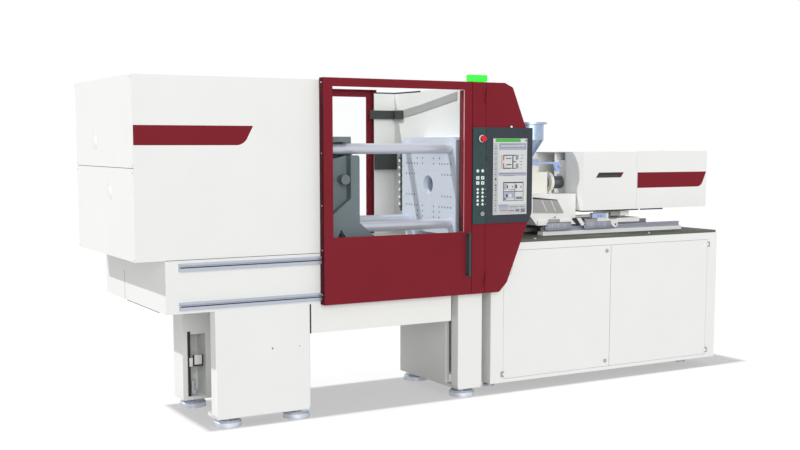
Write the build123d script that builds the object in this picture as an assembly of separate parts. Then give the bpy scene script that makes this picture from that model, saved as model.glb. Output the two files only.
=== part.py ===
from build123d import *
import os
from math import acos, atan2, cos, degrees, hypot, radians, sin, sqrt

# Injection moulding machine: toggle clamp on the left, injection unit on the right.
# X runs along the machine, the operator stands on the -Y side, Z is up, the floor is Z = 0.

# Overall size
MACHINE_LENGTH = 4347.0
MACHINE_DEPTH = 1335.0
BUTTON_PROUD = 40.0         # how far the stop button stands out of the guard face
LEFT_X = -MACHINE_LENGTH / 2
RIGHT_X = MACHINE_LENGTH / 2
GUARD_Y = -MACHINE_DEPTH / 2 + BUTTON_PROUD
REAR_Y = MACHINE_DEPTH / 2
SHEET = 4.0                 # cover and guard sheet
RUN_GAP = 0.3               # air between pieces that slide
TURN_GAP = 0.05             # radial air on pins and shafts

# Machine axis
PLATEN_WIDTH = 680.0
PLATEN_TO_GUARD = 125.0     # from the platens to the face of the front guard
AXIS_Y = GUARD_Y + PLATEN_TO_GUARD + PLATEN_WIDTH / 2

# Bed
MOUNT_DEPTH = 60.0          # bed front behind the guard face
BED_FRONT_Y = GUARD_Y + MOUNT_DEPTH
BED_REAR_Y = REAR_Y - MOUNT_DEPTH
BED_X0 = LEFT_X + 166.5
BED_X1 = 170.0              # the injection cabinet is bolted on here
BED_Z0 = 690.0
BED_TOP = 991.0
BED_WALL = 15.0
WAY_OFFSET = PLATEN_WIDTH / 2 - 105.0   # slide ways either side of the machine axis
BED_SPLIT_Y = AXIS_Y + WAY_OFFSET + 134.5   # joint between the main bed and the rear box
WAY_WIDTH = 60.0
WAY_HEIGHT = 14.0
END_HEIGHT = 700.0          # end platen, the tallest of the three
AXIS_Z = BED_TOP + WAY_HEIGHT + END_HEIGHT / 2 + 10.0
CHUTE_X0 = -1119.0
CHUTE_X1 = -136.0
CHUTE_Z0 = BED_Z0 - 176.0

# Legs and feet
LEG_Z0 = 58.0
LEG_RETURN = 80.0
LEFT_LEG_X = (BED_X0 + 286.0, CHUTE_X0 - 7.0)
RIGHT_LEG_X = (CHUTE_X1 + 55.0, CHUTE_X1 + 240.0)
LEG_REAR_Y = BED_SPLIT_Y - 20.0
POST_DEPTH = 165.0
POST_WALL = 14.0
POCKET = 114.0              # width of the opening above a levelling screw
POCKET_TOP = 468.0
FOOT_X = (LEFT_LEG_X[0] + 100.0, LEFT_LEG_X[1] - 52.0, RIGHT_LEG_X[0] + 89.0)
FOOT_ROW_Y = (BED_FRONT_Y + 92.5, LEG_REAR_Y - 75.0)
PAD_DIAMETER = 165.0
PAD_HEIGHT = 40.0
FOOT_SCREW = 30.0
FOOT_SCREW_TOP = 165.0
SMALL_PAD = 80.0
SMALL_SCREW = 16.0
BASE_PLATE = 20.0

# Clamp cover
COVER_X1 = -1016.0
COVER_TOP = 2008.0
COVER_REAR_Y = BED_REAR_Y - 2.5
PANEL_SPLIT_Z = 1502.0
PLUG_DIAMETER = 100.0

# Platens and tie bars
PLATEN_FACE_X = -64.0
FIXED_THICKNESS = 175.0
PLATEN_HEIGHT = 625.0
BAR_DIAMETER = 65.0
BAR_TO_EDGE = 72.5          # from the axis of a tie bar to the edge of the platen
BAR_SPACING_Y = PLATEN_WIDTH - 2 * BAR_TO_EDGE
BAR_SPACING_Z = PLATEN_HEIGHT - 2 * BAR_TO_EDGE
NUT_DIAMETER = 115.0        # across the corners
NUT_THICKNESS = 45.0
LOCATING_BORE = 125.0
LOCATING_DEPTH = 30.0
NOZZLE_CLEAR = 170.0
GRID = (PLATEN_WIDTH / 2 - 60.0) / 8    # mould fixing holes lie on multiples of this
TAPPED = 14.0
TAPPED_DEPTH = 32.0
BOLT_PLACE = (4, 8)         # grid row and column of the four round mounting holes
DAYLIGHT = 692.0
MOVING_SLAB = 60.0
MOVING_BODY = 130.0
CORNER_CUT = 40.0           # from a tie bar axis to the cut corner round it
SHOE_REACH = 175.0
SHOE_RISE = 150.0
SHOE_WIDTH = 36.0
ARCH_X = (PLATEN_FACE_X - DAYLIGHT - 174.0, PLATEN_FACE_X - DAYLIGHT - 44.0)
ARCH_RISE = 115.0
EJECTOR_ROD = 40.0
EJECTOR_PLATE = 22.0

# Toggle, in the X-Z plane from the machine axis
END_PIN_Z = 255.0
MOVING_PIN_Z = 220.0
REAR_LINK = 215.0
FRONT_LINK = 420.0
CLAMP_STROKE = 320.0
THIRD_PIN_ALONG = 120.0
THIRD_PIN_IN = 55.0
CROSSHEAD_PIN_Z = 60.0
CROSSHEAD_LINK = 135.0
TOGGLE_PIN = 45.0
SMALL_PIN = 32.0
EYE_WALL = 15.0
PIN_CAP = 4.0
REAR_LAYER = (60.0, 100.0)      # distance of each plate from the machine axis
FRONT_LAYER = (106.0, 146.0)
CROSS_LAYER = (28.0, 54.0)
MOVING_LUG = 65.0               # pin behind the body of the moving platen
END_LUG = 130.0                 # pin ahead of the end platen
END_THICKNESS = 150.0
CYLINDER_BORE = 90.0
CYLINDER_OUTER = 150.0
CYLINDER_LENGTH = 330.0
ROD_DIAMETER = 55.0

# Sliding guards
COLUMN_X0 = -20.0           # left edge of the control column, which the front guard closes against
DOOR_WIDTH = 1035.0
DOOR_X1 = COLUMN_X0 - 4.0
DOOR_X0 = DOOR_X1 - DOOR_WIDTH
DOOR_Z0 = BED_Z0 - 6.0
DOOR_TOP = COVER_TOP + 11.0
DOOR_DEPTH = 54.0
STILE_LEFT = 60.0
STILE_RIGHT = 58.0
RAIL_TOP = 51.0
APRON = 399.0
WINDOW_LAP = 15.0
PANE = 5.0
TRACK_X = (BED_X0 + 76.0, DOOR_X1 - 16.0)
TRACK_HEIGHT = 43.0
TRACK_DEPTH = 24.5
TRACK_Z = (BED_Z0 + 42.5, BED_TOP - 40.0)
TRACK_CLEAR = 8.0
RUNNER_LENGTH = 90.0
RUNNER_INSET = 70.0

# Control column, swivelling wing and screen
COLUMN_WIDTH = 98.5
COLUMN_X = (COLUMN_X0, COLUMN_X0 + COLUMN_WIDTH)
WING_GAP = 3.0
WING_X0 = COLUMN_X[1] + WING_GAP
WING_HINGE_Z = (DOOR_Z0 + 86.0, DOOR_TOP - 89.0)
WING_KNUCKLE = 10.0
WING_KNUCKLE_LENGTH = 40.0
WING_PIN = 5.0
WING_SCREEN_X = WING_X0 + 357.5
NOSE_TOP_X = (WING_X0 + 141.5, WING_X0 + 204.5)
NOSE_TOP_Z = DOOR_TOP - 28.0
NOSE_BOTTOM_X = (WING_X0 + 110.5, WING_X0 + 171.5)
NOSE_BOTTOM_Z = DOOR_Z0 + 61.0
NOSE_SIDE_Z = (1194.0, 1620.0)
PANEL_Z = (1130.0, 1737.0)
PANEL_PROUD = 8.0
SCREEN_X0 = WING_X0 + 50.5
SCREEN_WIDTH = 266.0
SCREEN_Z0 = 1183.0
SCREEN_HEIGHT = 486.0
STOP_X = COLUMN_X0 + 63.0
STOP_Z = 1667.0
STOP_DIAMETER = 40.0
SWITCH_X = COLUMN_X0 + 68.0
SWITCH_Z = 1194.0
SWITCH_DIAMETER = 28.0
KEY_COLUMNS = (COLUMN_X0 + 35.0, COLUMN_X0 + 72.0)
ROUND_KEY_Z = (1349.0, 1327.0, 1302.0, 1278.0, 1254.0)
SQUARE_KEY_Z = (1421.0, 1389.0)
TOP_KEY_Z = 1465.0
KEY_SIZE = 14.0
LAMP_X = (COLUMN_X[0] - 14.0, COLUMN_X[1] + 9.5)
LAMP_HEIGHT = 42.0
LAMP_DEPTH = 55.0

# Injection base
CABINET_X0 = BED_X1
CABINET_Z0 = 70.0
CABINET_REAR_Y = AXIS_Y + 397.5
CABINET_WALL = 8.0
DOORS_X = (CABINET_X0 + 100.0, RIGHT_X - 91.5)
DOORS_SPLIT_X = 1172.0
DOORS_Z = (CABINET_Z0 + 24.0, BED_TOP - 49.0)
DOOR_GAP = 2.0
CABINET_DOOR_DEPTH = 22.0
LATCH_X = DOORS_SPLIT_X - 37.5
LATCH_Z = (DOORS_Z[0] + 40.7, DOORS_Z[1] - 39.5)
LATCH_DIAMETER = 28.0
LEFT_HINGE_Z = (DOORS_Z[0] + 33.0, NOSE_BOTTOM_Z - 10.0)
RIGHT_HINGE_Z = (DOORS_Z[0] + 33.0, DOORS_Z[1] - 36.0)
SWING_CLEAR = 4.0           # air between the left door and the wing as it opens
HINGE_SIZE = 36.0
HINGE_PIN = 6.0
KNUCKLE = 16.0
BASE_THICK = 17.0
BASE_TOP = BED_TOP + BASE_THICK
GUIDE_X = (744.0, RIGHT_X - 174.5)
GUIDE_OFFSET = 177.5
GUIDE_WIDTH = 30.0
STRIP_HEIGHT = 26.0
GUIDE_HEIGHT = 32.0

# Injection unit
CARRIAGE_TRAVEL = 200.0
BLOCK_X = (850.0, 1280.0)
BLOCK_LENGTH = 160.0
BLOCK_TOP = BASE_TOP + STRIP_HEIGHT + GUIDE_HEIGHT + 14.0
DECK_X0 = 622.0
DECK_TOP = AXIS_Z - 75.0
HOOD_X0 = 1023.0
HOOD_SPLIT_X = 1500.0
CARRIAGE_X1 = HOOD_SPLIT_X + 90.0
HOOD_HALF = 277.5
HOOD_Z = (AXIS_Z - 190.0, AXIS_Z + 214.0)
HOOD_RETURN = 200.0
HOOD_GAP = 0.4
HOOD_TRAVEL = 300.0
HOOD_RAIL = 20.0
HOOD_LAP = 30.0
GRIP_X = (HOOD_X0 + 109.0, HOOD_X0 + 362.0)
GRIP_Z = AXIS_Z + 53.0
GRIP_HEIGHT = 36.0
GRIP_SLANT = 26.0
GRIP_DEPTH = 24.0
BARREL_DIAMETER = 92.0
BARREL_BORE = 40.0
SCREW_DIAMETER = 39.8
FLIGHT_STEP = 90.0          # collars stand in for the flight inside the closed barrel
BAND_DIAMETER = 118.0
BAND_WIDTH = 52.0
BAND_COUNT = 5
NOZZLE_TIP_X = PLATEN_FACE_X + 44.0
BARREL_X0 = NOZZLE_TIP_X + 80.0
HOPPER_X = 760.0
HOPPER_DIAMETER = 200.0
HOPPER_RIM = 244.0
HOPPER_NECK = 50.0
HOPPER_WALL = 2.5
HOPPER_TRAVEL = 110.0
THROAT_RISE = 131.0
RAIL_PLATE_Z = AXIS_Z + THROAT_RISE
RAIL_PLATE = 12.0
RAIL_PLATE_X = (HOPPER_X - 75.0, HOPPER_X + 208.0)
FLANGE_DIAMETER = 150.0
HOPPER_NECK_Z = RAIL_PLATE_Z + 49.0
HOPPER_SHELL_Z = HOPPER_NECK_Z + 116.0
HOPPER_RIM_Z = HOPPER_SHELL_Z + 122.0
FEED_BLOCK_X = (HOPPER_X - 88.0, HOPPER_X + 98.0)
FLANGE_X = (FEED_BLOCK_X[1] + 47.0, FEED_BLOCK_X[1] + 72.0)
SCREW_PLATE_X = (HOOD_SPLIT_X - 100.0, HOOD_SPLIT_X - 50.0)
DRIVE_HALF = 69.0


def block(x, y, z):
    """Box between (low, high) pairs."""
    centre = ((x[0] + x[1]) / 2, (y[0] + y[1]) / 2, (z[0] + z[1]) / 2)
    return Pos(*centre) * Box(x[1] - x[0], y[1] - y[0], z[1] - z[0])


def bar_x(diameter, x, y, z):
    """Round bar along X."""
    place = Pos((x[0] + x[1]) / 2, y, z) * Rot(0, 90, 0)
    return place * Cylinder(diameter / 2, x[1] - x[0])


def bar_y(diameter, x, y, z):
    """Round bar along Y."""
    place = Pos(x, (y[0] + y[1]) / 2, z) * Rot(90, 0, 0)
    return place * Cylinder(diameter / 2, y[1] - y[0])


def bar_z(diameter, x, y, z):
    """Round bar along Z."""
    return Pos(x, y, (z[0] + z[1]) / 2) * Cylinder(diameter / 2, z[1] - z[0])


def plate_y(points, y):
    """Plate with an outline in X and Z, between two places in Y."""
    wire = Polyline(*[(px, y[0], pz) for px, pz in points], close=True)
    return extrude(make_face(wire), amount=y[1] - y[0], dir=(0, 1, 0))


def plate_x(points, x):
    """Plate with an outline in Y and Z, between two places in X."""
    wire = Polyline(*[(x[0], py, pz) for py, pz in points], close=True)
    return extrude(make_face(wire), amount=x[1] - x[0], dir=(1, 0, 0))


def both_sides(layer):
    """The two places in Y, either side of the machine axis, of a pair of plates."""
    return ((AXIS_Y + layer[0], AXIS_Y + layer[1]), (AXIS_Y - layer[1], AXIS_Y - layer[0]))


def around_axis(half_y, half_z, x):
    """Block centred on the machine axis."""
    return block(x, (AXIS_Y - half_y, AXIS_Y + half_y), (AXIS_Z - half_z, AXIS_Z + half_z))


def grown(pair, by):
    return (pair[0] - by, pair[1] + by)


def bar_places():
    """Centres of the four tie bars."""
    places = []
    for side in (-1, 1):
        for level in (-1, 1):
            places.append((AXIS_Y + side * BAR_SPACING_Y / 2, AXIS_Z + level * BAR_SPACING_Z / 2))
    return places


# Toggle geometry at rest, with the mould space open
MOVING_FACE_X = PLATEN_FACE_X - DAYLIGHT
MOVING_BACK_X = MOVING_FACE_X - MOVING_SLAB - MOVING_BODY
MOVING_PIN_X = MOVING_BACK_X - MOVING_LUG
PIN_RISE = END_PIN_Z - MOVING_PIN_Z
STRAIGHT_SPAN = sqrt((REAR_LINK + FRONT_LINK) ** 2 - PIN_RISE ** 2)
OPEN_SPAN = STRAIGHT_SPAN - CLAMP_STROKE
END_PIN_X = MOVING_PIN_X - OPEN_SPAN
PIN_SPACE = hypot(OPEN_SPAN, PIN_RISE)
PIN_SLOPE = atan2(-PIN_RISE, OPEN_SPAN)
REAR_CORNER = acos((REAR_LINK ** 2 + PIN_SPACE ** 2 - FRONT_LINK ** 2) / (2 * REAR_LINK * PIN_SPACE))
REAR_ANGLE = PIN_SLOPE - REAR_CORNER
KNEE_X = END_PIN_X + REAR_LINK * cos(REAR_ANGLE)
KNEE_Z = END_PIN_Z + REAR_LINK * sin(REAR_ANGLE)
THIRD_X = END_PIN_X + THIRD_PIN_ALONG * cos(REAR_ANGLE) + THIRD_PIN_IN * sin(REAR_ANGLE)
THIRD_Z = END_PIN_Z + THIRD_PIN_ALONG * sin(REAR_ANGLE) - THIRD_PIN_IN * cos(REAR_ANGLE)
CROSSHEAD_X = THIRD_X + sqrt(CROSSHEAD_LINK ** 2 - (THIRD_Z - CROSSHEAD_PIN_Z) ** 2)
END_FACE_X = END_PIN_X - END_LUG
END_BACK_X = END_FACE_X - END_THICKNESS


def report_toggle():
    """Prints the turn of each link over the stroke, for the joint limits."""
    closed = atan2(-PIN_RISE, STRAIGHT_SPAN)
    front_open = atan2(MOVING_PIN_Z - KNEE_Z, MOVING_PIN_X - KNEE_X)
    third_x = THIRD_PIN_ALONG * cos(closed) + THIRD_PIN_IN * sin(closed)
    third_z = END_PIN_Z + THIRD_PIN_ALONG * sin(closed) - THIRD_PIN_IN * cos(closed)
    head_x = third_x + sqrt(CROSSHEAD_LINK ** 2 - (third_z - CROSSHEAD_PIN_Z) ** 2)
    cross_open = atan2(THIRD_Z - CROSSHEAD_PIN_Z, THIRD_X - CROSSHEAD_X)
    cross_closed = atan2(third_z - CROSSHEAD_PIN_Z, third_x - head_x)
    print("end pin x", END_PIN_X, "moving pin x", MOVING_PIN_X, "knee", KNEE_X, KNEE_Z)
    print("third", THIRD_X, THIRD_Z, "crosshead x", CROSSHEAD_X)
    print("rear link turn", degrees(closed - REAR_ANGLE))
    print("front link turn", degrees(closed - front_open))
    print("crosshead travel", head_x + END_PIN_X - CROSSHEAD_X)
    print("crosshead link turn", degrees(cross_closed - cross_open))


# Bed, legs and feet

def clamp_frame():
    """Welded bed with two slide ways, open below the mould space."""
    y = (BED_FRONT_Y, BED_SPLIT_Y)
    z = (BED_Z0, BED_TOP)
    body = block((BED_X0, BED_X1), y, z)
    inner_y = (y[0] + BED_WALL, y[1] - BED_WALL)
    way_y = [AXIS_Y - WAY_OFFSET, AXIS_Y + WAY_OFFSET]
    left = (BED_X0 + BED_WALL, CHUTE_X0)
    body -= block(left, inner_y, (BED_Z0 + BED_WALL, BED_TOP + 1))
    chute = (CHUTE_X0 + BED_WALL, CHUTE_X1)
    body -= block(chute, inner_y, (BED_Z0 - 1, BED_TOP + 1))
    body -= block((CHUTE_X1 + 2 * BED_WALL, BED_X1 - BED_WALL), inner_y, (BED_Z0 - 1, BED_TOP - BED_WALL))
    for centre in way_y:
        web = (centre - WAY_WIDTH / 2, centre + WAY_WIDTH / 2)
        body += block((BED_X0 + BED_WALL, PLATEN_FACE_X - 1), web, (BED_Z0, BED_TOP + WAY_HEIGHT))
    return body


def rear_frame_box():
    """Second sheet box behind the bed, open underneath."""
    y = (BED_SPLIT_Y + 1, BED_REAR_Y)
    body = block((BED_X0, BED_X1), y, (BED_Z0, BED_TOP))
    hollow_y = (y[0] + SHEET, y[1] - SHEET)
    return body - block((BED_X0 + SHEET, BED_X1 - SHEET), hollow_y, (BED_Z0 - 1, BED_TOP - SHEET))


def drop_chute():
    """Sheet skirt below the bed that the parts fall through."""
    y = (BED_FRONT_Y, BED_SPLIT_Y)
    body = block((CHUTE_X0, CHUTE_X1), y, (CHUTE_Z0, BED_Z0))
    hollow = block(grown((CHUTE_X0, CHUTE_X1), -SHEET), grown(y, -SHEET), (CHUTE_Z0 - 1, BED_Z0 + 1))
    return body - hollow


def pedestal(x, feet):
    """Leg: folded front plate, top and bottom plates, and posts with pockets above the feet."""
    z = (LEG_Z0, BED_Z0)
    fold_y = (BED_FRONT_Y, BED_FRONT_Y + LEG_RETURN)
    body = block(x, fold_y, z)
    body = fillet(body.edges().filter_by(Axis.Y).sort_by(Axis.Z)[:2], 24.0)
    body = fillet(body.edges().filter_by(Axis.Z).sort_by(Axis.Y)[:2], 7.0)
    body -= block(grown(x, -SHEET * 2), (fold_y[0] + SHEET * 2, fold_y[1] + 1), (LEG_Z0 - 1, BED_Z0 + 1))
    inside = grown(x, -SHEET * 2)
    body += block(inside, (fold_y[0] + SHEET, LEG_REAR_Y), (BED_Z0 - BASE_PLATE, BED_Z0))
    body += block(inside, (fold_y[0] + SHEET, fold_y[0] + POST_DEPTH), (LEG_Z0, LEG_Z0 + BASE_PLATE))
    rear = (LEG_REAR_Y - POST_DEPTH, LEG_REAR_Y)
    body += block(inside, rear, z)
    for foot in feet:
        pocket = (max(foot - POCKET / 2, inside[0] + POST_WALL),
                  min(foot + POCKET / 2, inside[1] - POST_WALL))
        pocket_y = (rear[0] - 1, rear[1] - SHEET * 2)
        body -= block(pocket, pocket_y, (LEG_Z0 + BASE_PLATE, POCKET_TOP))
    spine = (inside[0], inside[0] + 2 * POST_WALL)
    if x[0] < CHUTE_X0:
        spine = (inside[1] - 2 * POST_WALL, inside[1])
    body += block(spine, (fold_y[0] + POST_DEPTH, rear[0]), z)
    for foot in feet:
        for row in FOOT_ROW_Y:
            body -= bar_z(FOOT_SCREW + 2, foot, row, (LEG_Z0 - 1, LEG_Z0 + BASE_PLATE + 1))
    return body


def foot_set(x, y, plate_z, diameter, screw, top):
    """One levelling foot: pad, screw and the lock nut on the plate."""
    height = PAD_HEIGHT * diameter / PAD_DIAMETER
    pad = Pos(x, y, height / 2) * Cylinder(diameter / 2, height)
    pad = chamfer(pad.edges().sort_by(Axis.Z)[-1], height * 0.3)
    shaft = bar_z(screw, x, y, (height, top))
    nut = extrude(RegularPolygon(screw * 0.85, 6), amount=screw * 0.8)
    return pad + shaft + Pos(x, y, plate_z) * nut


def levelling_feet():
    """Steel pads with screws through the base plates, and their lock nuts."""
    feet = []
    for x in FOOT_X:
        for y in FOOT_ROW_Y:
            feet.append(foot_set(x, y, LEG_Z0 + BASE_PLATE, PAD_DIAMETER, FOOT_SCREW, FOOT_SCREW_TOP))
    for x in cabinet_feet_x():
        for y in cabinet_feet_y():
            feet.append(foot_set(x, y, CABINET_Z0 + CABINET_WALL, SMALL_PAD, SMALL_SCREW, CABINET_Z0 + 40.0))
    return Compound(children=feet)


def cabinet_feet_x():
    return (CABINET_X0 + 160.0, RIGHT_X - 95.0)


def cabinet_feet_y():
    return (BED_FRONT_Y + 250.0, CABINET_REAR_Y - 90.0)


# Clamp cover

def clamp_cover():
    """Sheet housing over the toggle: open towards the mould space, with a floor where it overhangs."""
    x = (LEFT_X + SHEET, COVER_X1)
    y = (BED_FRONT_Y, COVER_REAR_Y)
    z = (BED_TOP, COVER_TOP)
    body = block(x, y, z)
    body -= block((x[0] - 1, x[1] + 1), grown(y, -SHEET), (BED_TOP - 1, COVER_TOP - SHEET))
    body += block((x[0], BED_X0 - SHEET), y, (BED_TOP, BED_TOP + SHEET))
    return body


def end_panels():
    """Two folded sheets that close the left end, each with a round blind plug."""
    panels = []
    y = (BED_FRONT_Y, COVER_REAR_Y)
    spans = ((BED_TOP, PANEL_SPLIT_Z - 1.5), (PANEL_SPLIT_Z + 1.5, COVER_TOP))
    plugs = ((AXIS_Y + 49.5, AXIS_Z), (AXIS_Y + 338.5, PANEL_SPLIT_Z + 148.0))
    for span, plug in zip(spans, plugs):
        panel = block((LEFT_X, LEFT_X + SHEET), y, span)
        floor = SHEET + RUN_GAP if span[0] == BED_TOP else 0.0
        lip_z = (span[0] + floor, span[1] - SHEET - RUN_GAP)
        lip = block((LEFT_X, LEFT_X + 25.0), grown(y, -SHEET - RUN_GAP), lip_z)
        lip -= block((LEFT_X - 1, LEFT_X + 26.0), grown(y, -2 * SHEET - RUN_GAP), grown(lip_z, -SHEET))
        groove = bar_x(PLUG_DIAMETER, (LEFT_X - 1, LEFT_X + 1.2), plug[0], plug[1])
        groove -= bar_x(PLUG_DIAMETER - 5.0, (LEFT_X - 1, LEFT_X + 1.2), plug[0], plug[1])
        panels.append(panel + lip - groove)
    return Compound(children=panels)


def door_tracks():
    """Guide rails of the sliding guards: two at the front of the bed, two at the back."""
    tracks = []
    for z in TRACK_Z:
        span = (z - TRACK_HEIGHT / 2, z + TRACK_HEIGHT / 2)
        track = block(TRACK_X, (BED_FRONT_Y - TRACK_DEPTH, BED_FRONT_Y), span)
        for edge in (-1, 1):
            groove_z = z + edge * TRACK_HEIGHT * 0.2
            groove = (groove_z - 3.0, groove_z + 3.0)
            if edge == 1:
                track -= block(grown(TRACK_X, 1), (BED_FRONT_Y - TRACK_DEPTH - 1, BED_FRONT_Y - 14.0), groove)
        tracks.append(track)
        tracks.append(mirror_to_rear(track))
    return Compound(children=tracks)


def mirror_to_rear(shape):
    """The same piece on the back of the machine, mirrored about the middle of its depth."""
    middle = Plane.XZ.offset(-(GUARD_Y + REAR_Y) / 2)
    return mirror(shape, about=middle)


# Platens, tie bars and toggle

def mould_holes(face_x, depth_sign):
    """Tapped holes for mould clamps on the grid; all but the outer four are drawn six-sided."""
    rows = {2: (5, 6, 7, 8), 4: (2, 4, 5, 6, 7, 8), 5: (2, 4), 6: (2, 4)}
    tapped = extrude(RegularPolygon(TAPPED / 2, 6), TAPPED_DEPTH + 1)
    holes = []
    for level, columns in rows.items():
        for column in columns:
            for side_y in (-1, 1):
                for side_z in (-1, 1):
                    y = AXIS_Y + side_y * column * GRID
                    z = AXIS_Z + side_z * level * GRID
                    low = min(face_x - depth_sign, face_x + depth_sign * TAPPED_DEPTH)
                    if (level, column) == BOLT_PLACE:
                        holes.append(bar_x(TAPPED, (low, low + TAPPED_DEPTH + 1), y, z))
                    else:
                        holes.append(Pos(low, y, z) * Rot(0, 90, 0) * tapped)
    return holes


def fixed_platen():
    """Cast platen with four bar bores, the locating bore and a cone for the nozzle."""
    x = (PLATEN_FACE_X, PLATEN_FACE_X + FIXED_THICKNESS)
    body = around_axis(PLATEN_WIDTH / 2, PLATEN_HEIGHT / 2, x)
    body = chamfer(body.edges().filter_by(Axis.X), 18.0)
    for y, z in bar_places():
        body -= bar_x(BAR_DIAMETER + 2 * TURN_GAP, grown(x, 1), y, z)
    cone_x = (PLATEN_FACE_X + LOCATING_DEPTH, x[1])
    cone = Pos((cone_x[0] + cone_x[1]) / 2, AXIS_Y, AXIS_Z) * Rot(0, 90, 0)
    body -= bar_x(LOCATING_BORE, (x[0] - 1, cone_x[0] + 0.01), AXIS_Y, AXIS_Z)
    body -= cone * Cone(LOCATING_BORE / 2 - 12, NOZZLE_CLEAR / 2, cone_x[1] - cone_x[0] + 0.02)
    body -= mould_holes(PLATEN_FACE_X, 1)
    foot_z = (BED_TOP, AXIS_Z - PLATEN_HEIGHT / 2 + 1)
    for side in (-1, 1):
        centre = AXIS_Y + side * WAY_OFFSET
        body += block(x, (centre - 55.0, centre + 55.0), foot_z)
    return body


def end_platen():
    """Cast platen that carries the pins of the rear links and the clamp cylinder."""
    x = (END_BACK_X, END_FACE_X)
    body = around_axis(PLATEN_WIDTH / 2 - 20, END_HEIGHT / 2, x)
    body = chamfer(body.edges().filter_by(Axis.X), 40.0)
    for y, z in bar_places():
        body -= bar_x(BAR_DIAMETER + 2 * TURN_GAP, grown(x, 1), y, z)
    body -= bar_x(CYLINDER_BORE, grown(x, 1), AXIS_Y, AXIS_Z)
    for side in (-1, 1):
        centre = AXIS_Y + side * WAY_OFFSET
        top = AXIS_Z - END_HEIGHT / 2 + 1
        body += block(x, (centre - 50.0, centre + 50.0), (BED_TOP + WAY_HEIGHT, top))
    for level in (-1, 1):
        z = AXIS_Z + level * END_PIN_Z
        for y in both_sides(FRONT_LAYER):
            lug = block((END_FACE_X - 1, END_PIN_X), y, grown((z, z), TOGGLE_PIN))
            lug += bar_y(2 * TOGGLE_PIN, END_PIN_X, y, z)
            body += lug
        body += bar_y(TOGGLE_PIN, END_PIN_X, (AXIS_Y - FRONT_LAYER[1], AXIS_Y + FRONT_LAYER[1]), z)
    return body


def tie_bars():
    """Four ground bars from platen to platen."""
    x = (END_BACK_X - NUT_THICKNESS - 10, PLATEN_FACE_X + FIXED_THICKNESS + NUT_THICKNESS + 4)
    return Compound(children=[bar_x(BAR_DIAMETER, x, y, z) for y, z in bar_places()])


def tie_bar_nuts():
    """A hexagon nut at both ends of each bar."""
    nuts = []
    back = END_BACK_X
    front = PLATEN_FACE_X + FIXED_THICKNESS
    for span in ((back - NUT_THICKNESS, back), (front, front + NUT_THICKNESS)):
        for y, z in bar_places():
            hexagon = extrude(RegularPolygon(NUT_DIAMETER / 2, 6), NUT_THICKNESS)
            nut = Pos(span[0], y, z) * Rot(0, 90, 0) * hexagon
            nut -= bar_x(BAR_DIAMETER + 2 * TURN_GAP, grown(span, 1), y, z)
            nuts.append(nut)
    return Compound(children=nuts)


def clamp_cylinder():
    """Hydraulic cylinder behind the end platen."""
    x = (END_BACK_X - CYLINDER_LENGTH, END_BACK_X)
    body = bar_x(CYLINDER_OUTER, x, AXIS_Y, AXIS_Z)
    body += around_axis(95.0, 95.0, (END_BACK_X - 30.0, END_BACK_X))
    body += bar_x(CYLINDER_OUTER + 16, (x[0] - 30.0, x[0] + 10.0), AXIS_Y, AXIS_Z)
    return body - bar_x(ROD_DIAMETER + 2 * TURN_GAP, (x[0], END_BACK_X + 1), AXIS_Y, AXIS_Z)


def crosshead():
    """Crosshead on its piston rod, with pins for the two pairs of short links."""
    body = around_axis(CROSS_LAYER[0] - 2, CROSSHEAD_PIN_Z + 26, (CROSSHEAD_X - 30.0, CROSSHEAD_X + 30.0))
    rod_x = (END_BACK_X - CYLINDER_LENGTH + 60.0, CROSSHEAD_X - 29.0)
    body += bar_x(ROD_DIAMETER, rod_x, AXIS_Y, AXIS_Z)
    for level in (-1, 1):
        y = (AXIS_Y - CROSS_LAYER[1], AXIS_Y + CROSS_LAYER[1])
        body += bar_y(SMALL_PIN, CROSSHEAD_X, y, AXIS_Z + level * CROSSHEAD_PIN_Z)
    return body


def eye_link(start, end, layer, pin):
    """A pair of straight link plates with a rounded eye at both ends."""
    width = pin / 2 + EYE_WALL
    angle = degrees(atan2(end[1] - start[1], end[0] - start[0]))
    length = hypot(end[0] - start[0], end[1] - start[1])
    plates = []
    for y in both_sides(layer):
        middle = Pos((start[0] + end[0]) / 2, (y[0] + y[1]) / 2, (start[1] + end[1]) / 2)
        plate = middle * Rot(0, -angle, 0) * Box(length, y[1] - y[0], 1.7 * width)
        for place in (start, end):
            plate += bar_y(2 * width, place[0], y, place[1])
        plates.append(plate)
    return plates


def rear_links(level):
    """Rear links of one side of the toggle: two cranked plates with pin heads at the knee."""
    start = (END_PIN_X, AXIS_Z + level * END_PIN_Z)
    knee = (KNEE_X, AXIS_Z + level * KNEE_Z)
    third = (THIRD_X, AXIS_Z + level * THIRD_Z)
    links = []
    for plate, y in zip(eye_link(start, knee, REAR_LAYER, TOGGLE_PIN), both_sides(REAR_LAYER)):
        arm = bar_y(SMALL_PIN + 2 * EYE_WALL, third[0], y, third[1])
        plate += arm
        web = plate_y([third, start, knee], y)
        plate += web
        inner = y[0] if y[0] > AXIS_Y else y[1]
        cap_y = sorted((inner, inner + (PIN_CAP if y[0] < AXIS_Y else -PIN_CAP)))
        plate += bar_y(TOGGLE_PIN, knee[0], cap_y, knee[1])
        plate += bar_y(SMALL_PIN, third[0], cap_y, third[1])
        plate -= bar_y(TOGGLE_PIN + 2 * TURN_GAP, start[0], grown(y, 1), start[1])
        links.append(plate)
    return Compound(children=links)


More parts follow.
